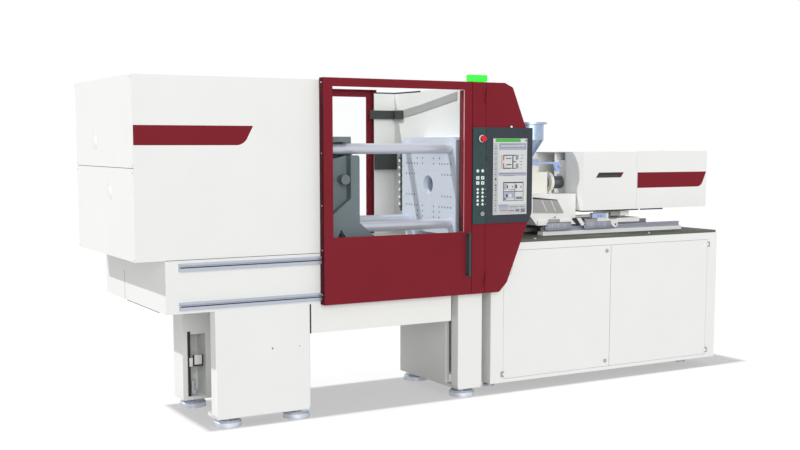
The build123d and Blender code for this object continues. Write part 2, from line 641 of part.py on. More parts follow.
def front_links(level):
    """Front links of one side of the toggle; their knee eyes are closed by caps."""
    start = (KNEE_X, AXIS_Z + level * KNEE_Z)
    end = (MOVING_PIN_X, AXIS_Z + level * MOVING_PIN_Z)
    plates = []
    for plate, y in zip(eye_link(start, end, FRONT_LAYER, TOGGLE_PIN), both_sides(FRONT_LAYER)):
        outer = y[1] if y[0] > AXIS_Y else y[0]
        cap = sorted((outer, outer + (PIN_CAP if y[0] > AXIS_Y else -PIN_CAP)))
        plate += bar_y(TOGGLE_PIN, start[0], cap, start[1])
        plate -= bar_y(TOGGLE_PIN + 2 * TURN_GAP, end[0], grown(y, 1), end[1])
        plates.append(plate)
    return Compound(children=plates)


def crosshead_links(level):
    """Short links from the crosshead to the rear links, open at the rear-link end."""
    start = (CROSSHEAD_X, AXIS_Z + level * CROSSHEAD_PIN_Z)
    end = (THIRD_X, AXIS_Z + level * THIRD_Z)
    plates = []
    for plate, y in zip(eye_link(start, end, CROSS_LAYER, SMALL_PIN), both_sides(CROSS_LAYER)):
        plate -= bar_y(SMALL_PIN + 2 * TURN_GAP, start[0], grown(y, 1), start[1])
        plates.append(plate)
    return Compound(children=plates)


def moving_platen():
    """Ribbed casting on the slide ways; its corners are cut away round the tie bars."""
    face = (MOVING_FACE_X - MOVING_SLAB, MOVING_FACE_X)
    back = (MOVING_BACK_X, face[0] + 1)
    half_y = PLATEN_WIDTH / 2
    half_z = PLATEN_HEIGHT / 2
    inner_y = BAR_SPACING_Y / 2 - CORNER_CUT
    inner_z = BAR_SPACING_Z / 2 - CORNER_CUT
    body = around_axis(half_y, inner_z, face) + around_axis(inner_y, half_z, face)
    body = fillet(body.edges().filter_by(Axis.X), 22.0)
    body += around_axis(FRONT_LAYER[1] + 24.0, half_z - 40, back)
    body -= around_axis(REAR_LAYER[0] - 8.0, 120.0, (back[0] - 1, face[0] - 20.0))
    shoe_z = BED_TOP + WAY_HEIGHT + RUN_GAP
    low_z = AXIS_Z - half_z
    for side in (-1, 1):
        rib_y = AXIS_Y + side * (half_y - 75.0)
        outline = [(back[0], AXIS_Z - inner_z + 30), (back[1], AXIS_Z - inner_z)]
        outline += [(back[1], AXIS_Z + inner_z), (back[0], AXIS_Z + inner_z - 30)]
        body += plate_y(outline, (rib_y - 16.0, rib_y + 16.0))
        body += block(back, sorted((AXIS_Y + side * FRONT_LAYER[1], rib_y)), (AXIS_Z - 20, AXIS_Z + 20))
        body += bar_y(60.0, back[1] - 35.0, sorted((rib_y, AXIS_Y + side * half_y)), AXIS_Z + 55.0)
        ledge_z = (AXIS_Z + BAR_SPACING_Z / 2 + CORNER_CUT, AXIS_Z + half_z)
        body += block(back, sorted((AXIS_Y + side * FRONT_LAYER[1], AXIS_Y + side * half_y)), ledge_z)
        side_y = sorted((AXIS_Y + side * (half_y - SHOE_WIDTH), AXIS_Y + side * half_y))
        shoe = [(back[0], shoe_z), (ARCH_X[0], shoe_z), (ARCH_X[0] + 45, shoe_z + ARCH_RISE)]
        shoe += [(ARCH_X[1], shoe_z), (face[1] + SHOE_REACH, shoe_z), (face[1] + SHOE_REACH, shoe_z + 8)]
        shoe += [(face[1], shoe_z + SHOE_RISE), (face[1], AXIS_Z - 100), (face[0], AXIS_Z - 60)]
        shoe += [(back[0], AXIS_Z - 160)]
        body += plate_y(shoe, side_y)
        core_y = sorted((AXIS_Y + side * (WAY_OFFSET - 55.0), AXIS_Y + side * half_y))
        body += block((back[0], ARCH_X[0]), core_y, (shoe_z, low_z + 20))
        body += block((ARCH_X[1], face[1]), core_y, (shoe_z, low_z + 20))
        body += block(face, sorted((AXIS_Y, core_y[0 if side > 0 else 1])), (low_z - 20, low_z + 20))
        body += block(face, (core_y[0], core_y[1]), (low_z - 20, low_z + 20))
    for level in (-1, 1):
        z = AXIS_Z + level * MOVING_PIN_Z
        for y in both_sides(REAR_LAYER):
            lug = block((MOVING_PIN_X, MOVING_BACK_X + 1), y, grown((z, z), TOGGLE_PIN))
            body += lug + bar_y(2 * TOGGLE_PIN, MOVING_PIN_X, y, z)
        body += bar_y(TOGGLE_PIN, MOVING_PIN_X, (AXIS_Y - FRONT_LAYER[1], AXIS_Y + FRONT_LAYER[1]), z)
    body -= bar_x(EJECTOR_ROD + 2 * TURN_GAP, (MOVING_BACK_X - 1, MOVING_FACE_X + 1), AXIS_Y, AXIS_Z)
    body -= mould_holes(MOVING_FACE_X, -1)
    return body


def ejector_rod():
    """Ejector rod with its plate, behind the moving platen."""
    plate_x0 = MOVING_BACK_X - EJECTOR_PLATE - 6.0
    body = bar_x(EJECTOR_ROD, (plate_x0 + 1, MOVING_FACE_X - 4.0), AXIS_Y, AXIS_Z)
    return body + around_axis(48.0, 40.0, (plate_x0, plate_x0 + EJECTOR_PLATE))


# Walls and fittings of the mould space

def rear_guard_panel():
    """Fixed white wall at the back of the mould space, turned forward beside the fixed platen."""
    corner_x = PLATEN_FACE_X + FIXED_THICKNESS + 5.0 + SHEET
    back_y = BED_REAR_Y - 7.5
    z = (BED_TOP, COVER_TOP - 8.0)
    body = block((PLATEN_FACE_X + 13.0, corner_x), (back_y, back_y + SHEET), z)
    body += block((corner_x - SHEET, corner_x), (BED_FRONT_Y + 8, back_y + 1), z)
    lower = (BED_TOP - 1, AXIS_Z + PLATEN_HEIGHT / 2 + 12)
    cut_y = (BED_FRONT_Y + 7, AXIS_Y + PLATEN_WIDTH / 2 + 12)
    return body - block((corner_x - SHEET - 1, corner_x + 1), cut_y, lower)


def guard_lock_box():
    """Dark lock housing and guide bar on the fixed wall."""
    back_y = BED_REAR_Y - 7.5
    wall_x = PLATEN_FACE_X + FIXED_THICKNESS + 5.0
    lock_z = (AXIS_Z + 85.0, AXIS_Z + 197.0)
    lock = block((PLATEN_FACE_X + 13.0, wall_x - 2), (back_y - 40.0, back_y), lock_z)
    bar_z_span = (COVER_TOP - 197.0, COVER_TOP - 136.0)
    bar = block((PLATEN_FACE_X - 21.0, wall_x), (back_y - 25.0, back_y), bar_z_span)
    bar += block((wall_x - 25.0, wall_x), (back_y - 130.0, back_y), bar_z_span)
    return Compound(children=[lock, bar])


def water_manifold():
    """Cooling-water manifold on the back edge of the fixed platen, with seven outlets."""
    y0 = AXIS_Y + PLATEN_WIDTH / 2
    z = (AXIS_Z - 190.0, AXIS_Z + 203.0)
    body = block((PLATEN_FACE_X, PLATEN_FACE_X + 30.0), (y0, y0 + 28.0), z)
    for step in range(7):
        body += bar_x(15.0, (PLATEN_FACE_X - 12.0, PLATEN_FACE_X + 1), y0 + 14.0, z[0] + 30.0 + 55.0 * step)
    return body


# Sliding guards

def guard_shell():
    """Folded frame of a sliding guard: skin with a window, and a flange all round."""
    x = (DOOR_X0, DOOR_X0 + DOOR_WIDTH)
    y = (GUARD_Y, GUARD_Y + DOOR_DEPTH)
    z = (DOOR_Z0, DOOR_TOP)
    body = block(x, y, z)
    body -= block(grown(x, -SHEET), (y[0] + SHEET, y[1] + 1), grown(z, -SHEET))
    body -= block(window_x(), (y[0] - 1, y[1]), window_z())
    for track in TRACK_Z:
        notch = (track - TRACK_HEIGHT / 2 - TRACK_CLEAR, track + TRACK_HEIGHT / 2 + TRACK_CLEAR)
        body -= block(grown(x, 1), (BED_FRONT_Y - TRACK_DEPTH - TRACK_CLEAR, y[1] + 1), notch)
    return body


def window_x():
    return (DOOR_X0 + STILE_LEFT, DOOR_X0 + DOOR_WIDTH - STILE_RIGHT)


def window_z():
    return (DOOR_Z0 + APRON, DOOR_TOP - RAIL_TOP)


def guard_pane():
    """Clear pane behind the window of a guard."""
    y = (GUARD_Y + SHEET, GUARD_Y + SHEET + PANE)
    return block(grown(window_x(), WINDOW_LAP), y, grown(window_z(), WINDOW_LAP))


def guard_runners():
    """Four runner blocks that carry a guard on its two rails."""
    runners = []
    ends = (DOOR_X0 + RUNNER_INSET, DOOR_X0 + DOOR_WIDTH - RUNNER_INSET - RUNNER_LENGTH)
    for start in ends:
        for z in TRACK_Z:
            outer = (z - TRACK_HEIGHT / 2 - 12.0, z + TRACK_HEIGHT / 2 + 12.0)
            runner = block((start, start + RUNNER_LENGTH), (GUARD_Y + SHEET, BED_FRONT_Y - 8.0), outer)
            slot = (z - TRACK_HEIGHT / 2 - RUN_GAP, z + TRACK_HEIGHT / 2 + RUN_GAP)
            slot_y = (BED_FRONT_Y - TRACK_DEPTH - RUN_GAP, BED_FRONT_Y)
            runners.append(runner - block((start - 1, start + RUNNER_LENGTH + 1), slot_y, slot))
    return runners


def front_door():
    return guard_shell()


def front_window():
    return guard_pane()


def door_runners():
    return Compound(children=guard_runners())


def rear_guard_door():
    """Rear guard, a mirror image of the front one with its runners bolted on."""
    body = guard_shell()
    for runner in guard_runners():
        body += runner
    return mirror_to_rear(body)


def rear_window():
    return mirror_to_rear(guard_pane())


def door_handle():
    """Upright grip at the closing edge of the front guard."""
    right = DOOR_X0 + DOOR_WIDTH
    x = (right - 43.0, right - 3.0)
    z = (DOOR_Z0 + 114.0, DOOR_Z0 + 394.0)
    body = block(x, (GUARD_Y - 5.0, GUARD_Y), z)
    grip = block((x[0] + 4, x[0] + 20), (GUARD_Y - 30.0, GUARD_Y - 4.0), grown(z, -6.0))
    finger = block((x[0] + 3, x[0] + 21), (GUARD_Y - 20.0, GUARD_Y - 5.0), grown(z, -26.0))
    return body + grip - finger


# Control column, wing and screen

def control_column():
    """Fixed folded post beside the front guard, fastened to the bed."""
    y = (GUARD_Y, GUARD_Y + DOOR_DEPTH)
    z = (DOOR_Z0, DOOR_TOP)
    body = block(COLUMN_X, y, z)
    body -= block(grown(COLUMN_X, -SHEET), (y[0] + SHEET, y[1] + 1), grown(z, -SHEET))
    body += block(grown(COLUMN_X, -SHEET), (y[0] + SHEET - 1, BED_FRONT_Y), (DOOR_Z0 + 21.0, BED_TOP - 21.0))
    for level in WING_HINGE_Z:
        body += wing_knuckle(-1, (level - WING_KNUCKLE_LENGTH, level))
        pin = (level - 1, level + WING_KNUCKLE_LENGTH - 4)
        body += bar_z(WING_PIN, wing_axis_x(), GUARD_Y - PANEL_PROUD, pin)
    body -= bar_y(14.0, STOP_X, (GUARD_Y - 1, GUARD_Y + SHEET + 1), STOP_Z)
    body -= bar_y(12.0, SWITCH_X, (GUARD_Y - 1, GUARD_Y + SHEET + 1), SWITCH_Z)
    return body


def key_panel():
    """Dark key panel on the column, with film keys and the collars of button and switch."""
    y = (GUARD_Y - PANEL_PROUD, GUARD_Y)
    body = block(COLUMN_X, y, PANEL_Z)
    key_y = (y[0] - 1.5, y[0] + 1)
    for z in ROUND_KEY_Z:
        body += bar_y(KEY_SIZE, KEY_COLUMNS[0], key_y, z)
    for x in KEY_COLUMNS:
        body += bar_y(KEY_SIZE, x, key_y, TOP_KEY_Z)
        for z in SQUARE_KEY_Z:
            body += block(grown((x, x), KEY_SIZE / 2 + 3), key_y, grown((z, z), KEY_SIZE / 2 + 3))
    body += bar_y(STOP_DIAMETER + 14.0, STOP_X, (y[0] - 6.0, y[0] + 1), STOP_Z)
    body -= bar_y(14.0, STOP_X, (y[0] - 7.0, y[1] + 1), STOP_Z)
    body -= bar_y(12.0, SWITCH_X, (y[0] - 7.0, y[1] + 1), SWITCH_Z)
    return body


def emergency_stop():
    """Mushroom button with its stem through the panel."""
    face = GUARD_Y - PANEL_PROUD - 6.0
    head = bar_y(STOP_DIAMETER, STOP_X, (-MACHINE_DEPTH / 2, face - 8.0), STOP_Z)
    head = fillet(head.edges().sort_by(Axis.Y)[0], 7.0)
    return head + bar_y(14.0 - 2 * TURN_GAP, STOP_X, (face - 9.0, GUARD_Y + SHEET + 14), STOP_Z)


def key_switch():
    """Round lock cylinder with a key bow."""
    face = GUARD_Y - PANEL_PROUD
    body = bar_y(SWITCH_DIAMETER, SWITCH_X, (face - 9.0, face - RUN_GAP), SWITCH_Z)
    bow = grown((SWITCH_Z, SWITCH_Z), 10.0)
    body += block(grown((SWITCH_X, SWITCH_X), 2.0), (face - 24.0, face - 8.0), bow)
    return body + bar_y(12.0 - 2 * TURN_GAP, SWITCH_X, (face - 1.0, GUARD_Y + SHEET + 10), SWITCH_Z)


def wing_axis_x():
    return COLUMN_X[1] + WING_GAP / 2


def wing_knuckle(side, z):
    """Hinge knuckle of the swivelling wing with the tab that joins it to one sheet."""
    knuckle = bar_z(WING_KNUCKLE, wing_axis_x(), GUARD_Y - PANEL_PROUD, z)
    tab = sorted((wing_axis_x() + side * WING_GAP / 2, wing_axis_x() + side * WING_KNUCKLE))
    return knuckle + block(tab, (GUARD_Y - PANEL_PROUD, GUARD_Y + 1), z)


def wing_outline(inset):
    """Six-sided outline of the wing, moved inwards by an inset."""
    left = WING_X0 + inset
    return [(left, DOOR_Z0 + inset), (NOSE_BOTTOM_X[0] - inset / 2, DOOR_Z0 + inset),
            (NOSE_BOTTOM_X[1] - inset, NOSE_BOTTOM_Z), (WING_SCREEN_X - inset, NOSE_SIDE_Z[0]),
            (WING_SCREEN_X - inset, NOSE_SIDE_Z[1]), (NOSE_TOP_X[1] - inset, NOSE_TOP_Z),
            (NOSE_TOP_X[0] - inset / 2, DOOR_TOP - inset), (left, DOOR_TOP - inset)]


def control_wing():
    """Swivelling six-sided wing that carries the screen."""
    body = plate_y(wing_outline(0.0), (GUARD_Y, GUARD_Y + DOOR_DEPTH - 8.0))
    corner = body.edges().filter_by(Axis.Y).sort_by(Axis.X)
    round_off = [e for e in corner if e.center().X > WING_X0 + 1]
    body = fillet(round_off, 22.0)
    hollow = plate_y(wing_outline(SHEET), (GUARD_Y + SHEET, GUARD_Y + DOOR_DEPTH))
    body -= hollow
    for level in WING_HINGE_Z:
        z = (level + RUN_GAP, level + WING_KNUCKLE_LENGTH)
        body += wing_knuckle(1, z)
        body -= bar_z(WING_PIN + 2 * TURN_GAP, wing_axis_x(), GUARD_Y - PANEL_PROUD, (z[0] - 1, z[1] - 3))
    hole_x = (WING_X0 + 50.0, WING_X0 + 163.0)
    for x in hole_x:
        for z in (DOOR_TOP - 187.0, DOOR_TOP - 75.0):
            body -= bar_y(9.0, x, (GUARD_Y - 1, GUARD_Y + SHEET + 1), z)
    return body


def screen_panel():
    """Dark bezel on the wing, cut along its lower slant, with the screen opening."""
    cut_x = WING_SCREEN_X - (NOSE_SIDE_Z[0] - PANEL_Z[0]) * wing_slope()
    outline = [(WING_X0, PANEL_Z[0]), (cut_x, PANEL_Z[0]), (WING_SCREEN_X, NOSE_SIDE_Z[0])]
    outline += [(WING_SCREEN_X, PANEL_Z[1]), (WING_X0, PANEL_Z[1])]
    body = plate_y(outline, (GUARD_Y - PANEL_PROUD, GUARD_Y))
    return body - screen_block(0.0, (GUARD_Y - PANEL_PROUD - 1, GUARD_Y + 1))


def screen_block(gap, y):
    x = (SCREEN_X0 + gap, SCREEN_X0 + SCREEN_WIDTH - gap)
    z = (SCREEN_Z0 + gap, SCREEN_Z0 + SCREEN_HEIGHT - gap)
    return block(x, y, z)


def touch_screen():
    """Glass of the upright screen, set into the bezel."""
    return screen_block(RUN_GAP, (GUARD_Y - PANEL_PROUD + 1.5, GUARD_Y))


def status_lamp():
    """Green lens block on top of the column."""
    y = (GUARD_Y, GUARD_Y + LAMP_DEPTH)
    z = (DOOR_TOP + 3.0, DOOR_TOP + 3.0 + LAMP_HEIGHT)
    lens = block(LAMP_X, y, z)
    lens = fillet(lens.edges().filter_by(Axis.X).sort_by(Axis.Z)[2:], 8.0)
    return lens + block(grown(COLUMN_X, -6.0), grown(y, -6.0), (DOOR_TOP, DOOR_TOP + 4.0))


# Injection base

def cabinet_frame():
    """Sheet cabinet with a centre post, open at the front behind its two doors."""
    x = (CABINET_X0, RIGHT_X)
    y = (BED_FRONT_Y, CABINET_REAR_Y)
    z = (CABINET_Z0, BED_TOP)
    body = block(x, y, z)
    body -= block(grown(x, -CABINET_WALL), (y[0] + 30.0, y[1] - CABINET_WALL), grown(z, -CABINET_WALL))
    opening_y = (y[0] - 1, y[0] + 31.0)
    body -= block(DOORS_X, opening_y, DOORS_Z) - fixed_corner(0.0)
    post = (DOORS_SPLIT_X + 2.0, DOORS_SPLIT_X + 62.0)
    body += block(post, (y[0] + CABINET_DOOR_DEPTH + 3.0, y[0] + CABINET_DOOR_DEPTH + 43.0), z)
    for foot_x in cabinet_feet_x():
        for foot_y in cabinet_feet_y():
            body -= bar_z(SMALL_SCREW + 2, foot_x, foot_y, (CABINET_Z0 - 1, CABINET_Z0 + CABINET_WALL + 1))
    return body


def base_tray():
    """Dark base plate on top of the cabinet."""
    y = (BED_FRONT_Y + 8.0, CABINET_REAR_Y - 6.0)
    return block(grown((CABINET_X0, RIGHT_X), -6.0), y, (BED_TOP, BASE_TOP))


def guide_y():
    return (AXIS_Y - GUIDE_OFFSET, AXIS_Y + GUIDE_OFFSET)


def injection_rails():
    """Two guide rails on their white strips."""
    rails = []
    for y in guide_y():
        strip_z = (BASE_TOP, BASE_TOP + STRIP_HEIGHT)
        rail = block(grown(GUIDE_X, 10.0), grown((y, y), GUIDE_WIDTH / 2 + 14.0), strip_z)
        top = block(GUIDE_X, grown((y, y), GUIDE_WIDTH / 2), (strip_z[1] - 1, strip_z[1] + GUIDE_HEIGHT))
        for side in (-1, 1):
            flank = sorted((y + side * (GUIDE_WIDTH / 2 - 5.0), y + side * (GUIDE_WIDTH / 2 + 1.0)))
            top -= block(grown(GUIDE_X, 1), flank, (strip_z[1] + 10.0, strip_z[1] + 20.0))
        rails.append(rail + top)
    return Compound(children=rails)


def hinge_pin_y():
    return BED_FRONT_Y - HINGE_PIN / 2 - 2.0


def wing_slope():
    """Run of the lower slant of the wing over its rise."""
    return (WING_SCREEN_X - NOSE_BOTTOM_X[1]) / (NOSE_SIDE_Z[0] - NOSE_BOTTOM_Z)


def fixed_corner(gap):
    """Upper corner of the left doorway that stays fixed, so that the door swings clear of the wing."""
    pin_x = DOORS_X[0]
    low = NOSE_BOTTOM_Z + (pin_x - NOSE_BOTTOM_X[1]) / wing_slope()
    top = DOORS_Z[1] + 1
    low_x = pin_x + hinge_pin_y() - GUARD_Y + SWING_CLEAR
    top_x = pin_x + hypot((top - low) * wing_slope(), hinge_pin_y() - GUARD_Y) + SWING_CLEAR
    outline = [(pin_x - 1, low - gap), (low_x + gap, low - gap), (top_x + gap, top), (pin_x - 1, top)]
    return plate_y(outline, (BED_FRONT_Y - 1, BED_FRONT_Y + CABINET_DOOR_DEPTH + 8.0))


def cabinet_door(x, hinge_side, hinge_z):
    """Folded door with its two hinge leaves."""
    span = grown(x, -DOOR_GAP)
    z = grown(DOORS_Z, -DOOR_GAP)
    y = (BED_FRONT_Y, BED_FRONT_Y + CABINET_DOOR_DEPTH)
    body = block(span, y, z)
    body -= block(grown(span, -SHEET), (y[0] + SHEET, y[1] + 1), grown(z, -SHEET))
    edge = x[0] if hinge_side < 0 else x[1]
    pin_y = hinge_pin_y()
    near = edge - hinge_side * (HINGE_PIN / 2 + 3.0)
    far = edge - hinge_side * HINGE_SIZE / 2
    for level in hinge_z:
        z = grown((level, level), HINGE_SIZE / 2)
        body += block(sorted((near, far)), (y[0] - HINGE_PIN, y[0] + 1), z)
        knuckle = grown((level, level), KNUCKLE / 2)
        body += bar_z(HINGE_PIN + 4.0, edge, pin_y, knuckle)
        body += block(sorted((edge, near - hinge_side)), (y[0] - HINGE_PIN, y[0] - 1.0), knuckle)
        body -= bar_z(HINGE_PIN + 2 * TURN_GAP, edge, pin_y, grown(knuckle, 1))
    return body


def cabinet_door_left():
    body = cabinet_door((DOORS_X[0], DOORS_SPLIT_X), -1, LEFT_HINGE_Z)
    solid = block((DOORS_X[0] + DOOR_GAP, DOORS_SPLIT_X - DOOR_GAP),
                  (BED_FRONT_Y, BED_FRONT_Y + CABINET_DOOR_DEPTH), grown(DOORS_Z, -DOOR_GAP))
    body += solid & (fixed_corner(DOOR_GAP + SHEET) - fixed_corner(DOOR_GAP))
    body -= fixed_corner(DOOR_GAP)
    for z in LATCH_Z:
        body -= bar_y(10.0, LATCH_X, (BED_FRONT_Y - 1, BED_FRONT_Y + SHEET + 1), z)
    return body


def cabinet_door_right():
    return cabinet_door((DOORS_SPLIT_X, DOORS_X[1]), 1, RIGHT_HINGE_Z)


def cabinet_hinges():
    """Fixed leaves of the four hinges with their pins."""
    leaves = []
    pin_y = hinge_pin_y()
    for edge, outward, hinge_z in ((DOORS_X[0], -1, LEFT_HINGE_Z), (DOORS_X[1], 1, RIGHT_HINGE_Z)):
        near = edge + outward * (HINGE_PIN / 2 + 3.0)
        far = edge + outward * HINGE_SIZE / 2
        for level in hinge_z:
            z = grown((level, level), HINGE_SIZE / 2)
            leaf = block(sorted((near, far)), (BED_FRONT_Y - HINGE_PIN, BED_FRONT_Y), z)
            leaf += bar_z(HINGE_PIN, edge, pin_y, z)
            inner = KNUCKLE / 2 + 0.5
            for ear in ((z[0], level - inner), (level + inner, z[1])):
                leaf += bar_z(HINGE_PIN + 4.0, edge, pin_y, ear)
                ear_x = sorted((edge, near + outward))
                leaf += block(ear_x, (BED_FRONT_Y - HINGE_PIN, BED_FRONT_Y - 1.0), ear)
            leaves.append(leaf)
    return Compound(children=leaves)


def latch(z):
    """Quarter-turn lock: round head, stem through the door and a tongue, drawn unlocked."""
    face = BED_FRONT_Y
    body = bar_y(LATCH_DIAMETER, LATCH_X, (face - 4.0, face - RUN_GAP), z)
    body -= block(grown((LATCH_X, LATCH_X), 1.5), (face - 5.0, face - 2.0), grown((z, z), 8.0))
    stem_y = (face - 1.0, face + CABINET_DOOR_DEPTH + 48.0)
    body += bar_y(10.0 - 2 * TURN_GAP, LATCH_X, stem_y, z)
    tongue_y = (stem_y[1] - 1.0, stem_y[1] + 3.0)
    return body + block(grown((LATCH_X, LATCH_X), 9.0), tongue_y, (z - 9.0, z + 56.0))


# Injection unit

def runner_blocks():
    """Four runner blocks under the carriage."""
    blocks = []
    top_z = BASE_TOP + STRIP_HEIGHT + GUIDE_HEIGHT
    for x in BLOCK_X:
        for y in guide_y():
            span = grown((x, x), BLOCK_LENGTH / 2)
            z = (BASE_TOP + STRIP_HEIGHT + 6.0, BLOCK_TOP)
            body = block(span, grown((y, y), GUIDE_WIDTH / 2 + 18.0), z)
            slot = grown((y, y), GUIDE_WIDTH / 2 + RUN_GAP)
            body -= block(grown(span, 1), slot, (BASE_TOP, top_z + RUN_GAP))
            blocks.append(body)
    return Compound(children=blocks)


def carriage():
    """Welded carriage: base plate, raised front end with ribbed side, and deck."""
    half = GUIDE_OFFSET + 40.0
    y = (AXIS_Y - half, AXIS_Y + half)
    body = block((DECK_X0 + 60.0, CARRIAGE_X1), y, (BLOCK_TOP, BLOCK_TOP + 30.0))
    outline = [(DECK_X0, BLOCK_TOP + 70.0), (DECK_X0 + 60.0, BLOCK_TOP), (BLOCK_X[0] + 55.0, BLOCK_TOP)]
    outline += [(HOOD_X0 - 8.0, BLOCK_TOP + 30.0), (HOOD_X0 - 8.0, DECK_TOP), (DECK_X0, DECK_TOP)]
    body += plate_y(outline, grown(y, -12.0))
    body -= block((DECK_X0 - 1, HOOD_X0 - 60.0), grown(y, -30.0), (BLOCK_TOP + 40.0, DECK_TOP - 16.0))
    low = BLOCK_TOP + 82.0
    high = DECK_TOP - 28.0
    panel = [(DECK_X0 + 8, low), (DECK_X0 + 265, low), (DECK_X0 + 200, high), (DECK_X0 + 8, high)]
    body += plate_y(panel, (y[0] + 6.0, y[0] + 13.0))
    foot_x = (BLOCK_X[1] - 124.0, BLOCK_X[1] + 13.0)
    foot = block(foot_x, (y[0] - 8.0, y[0] + 30.0), (BLOCK_TOP + 29.0, HOOD_Z[0] - 24.0))
    return body + foot


def barrel_guard():
    """White sheet behind the barrel with a heat shield bent over the barrel."""
    y1 = AXIS_Y + HOOD_HALF - 8.0
    body = block((DECK_X0 + 10.0, HOOD_X0 - 6.0), (y1 - SHEET, y1), (DECK_TOP, HOOD_Z[1]))
    return body + block((DECK_X0 + 10.0, HOOD_X0 - 6.0), (AXIS_Y + 150.0, y1), (DECK_TOP, DECK_TOP + SHEET))


def barrel():
    """Plasticising barrel with its head and nozzle."""
    body = bar_x(BARREL_DIAMETER, (BARREL_X0, HOOD_X0 + 60.0), AXIS_Y, AXIS_Z)
    head = Pos(BARREL_X0 - 20.0, AXIS_Y, AXIS_Z) * Rot(0, 90, 0) * Cone(24.0, BARREL_DIAMETER / 2 - 4.0, 40.0)
    body += head
    body += bar_x(38.0, (NOZZLE_TIP_X + 14.0, BARREL_X0 - 38.0), AXIS_Y, AXIS_Z)
    body += Pos(NOZZLE_TIP_X + 7.5, AXIS_Y, AXIS_Z) * Rot(0, 90, 0) * Cone(8.0, 19.0, 15.0)
    body -= bar_x(BARREL_BORE, (BARREL_X0 + 10.0, HOOD_X0 + 61.0), AXIS_Y, AXIS_Z)
    body -= bar_x(4.0, (NOZZLE_TIP_X - 1.0, BARREL_X0 + 11.0), AXIS_Y, AXIS_Z)
    body -= bar_z(HOPPER_NECK - 8.0, HOPPER_X, AXIS_Y, (AXIS_Z, AXIS_Z + BARREL_DIAMETER))
    return body


def heater_bands():
    """Ceramic band heaters along the barrel."""
    bands = []
    start = BARREL_X0 + 30.0
    pitch = (FEED_BLOCK_X[0] - start - 20.0) / BAND_COUNT
    for step in range(BAND_COUNT):
        x = (start + step * pitch, start + step * pitch + BAND_WIDTH)
        band = bar_x(BAND_DIAMETER, x, AXIS_Y, AXIS_Z)
        lug_z = (AXIS_Z, AXIS_Z + BAND_DIAMETER / 2 + 18.0)
        band += block((x[0] + 14.0, x[1] - 14.0), grown((AXIS_Y, AXIS_Y), 14.0), lug_z)
        bands.append(band - bar_x(BARREL_DIAMETER + 2 * TURN_GAP, grown(x, 1), AXIS_Y, AXIS_Z))
    return Compound(children=bands)


def screw():
    """Plasticising screw: core, flight shown as collars, and drive end."""
    body = bar_x(SCREW_DIAMETER - 10.0, (BARREL_X0 + 60.0, HOOD_X0 + 140.0), AXIS_Y, AXIS_Z)
    flight = BARREL_X0 + 90.0
    while flight < FEED_BLOCK_X[1]:
        body += bar_x(SCREW_DIAMETER, (flight, flight + 5.0), AXIS_Y, AXIS_Z)
        flight += FLIGHT_STEP
    return body


def feed_block():
    """Water-cooled feed block with the throat below the hopper, and the barrel flange."""
    y = grown((AXIS_Y, AXIS_Y), 85.0)
    body = block(FEED_BLOCK_X, y, (DECK_TOP, AXIS_Z + 75.0))
    neck = grown((AXIS_Y, AXIS_Y), 48.0)
    body += block(grown((HOPPER_X, HOPPER_X), 48.0), neck, (AXIS_Z + 74.0, RAIL_PLATE_Z))
    flange = bar_x(FLANGE_DIAMETER, FLANGE_X, AXIS_Y, AXIS_Z)
    flange += block(FLANGE_X, grown((AXIS_Y, AXIS_Y), 40.0), (DECK_TOP, AXIS_Z))
    body -= bar_x(BARREL_DIAMETER + 2 * TURN_GAP, grown(FEED_BLOCK_X, 1), AXIS_Y, AXIS_Z)
    flange -= bar_x(BARREL_DIAMETER + 2 * TURN_GAP, grown(FLANGE_X, 1), AXIS_Y, AXIS_Z)
    body -= bar_z(HOPPER_NECK, HOPPER_X, AXIS_Y, (AXIS_Z + 30.0, RAIL_PLATE_Z + 1))
    return Compound(children=[body, flange])


def hopper_rail():
    """Plate that the hopper slides on, with the angled chute bracket at its end."""
    x = RAIL_PLATE_X
    low = RAIL_PLATE_Z - 56.0
    y = (AXIS_Y - 85.0, AXIS_Y + 70.0)
    body = block(x, y, (RAIL_PLATE_Z, RAIL_PLATE_Z + RAIL_PLATE))
    body -= bar_z(HOPPER_NECK, HOPPER_X, AXIS_Y, (RAIL_PLATE_Z - 1, RAIL_PLATE_Z + RAIL_PLATE + 1))
    arm = [(x[1] - 62.0, RAIL_PLATE_Z + 1), (x[1], RAIL_PLATE_Z + 1), (x[1] - 8, low), (x[1] - 30, low)]
    body += plate_y(arm, (y[0], y[0] + 10.0))
    return body + bar_y(14.0, x[1] - 14.0, (y[0] - 16.0, y[0] + 1), RAIL_PLATE_Z - 18.0)


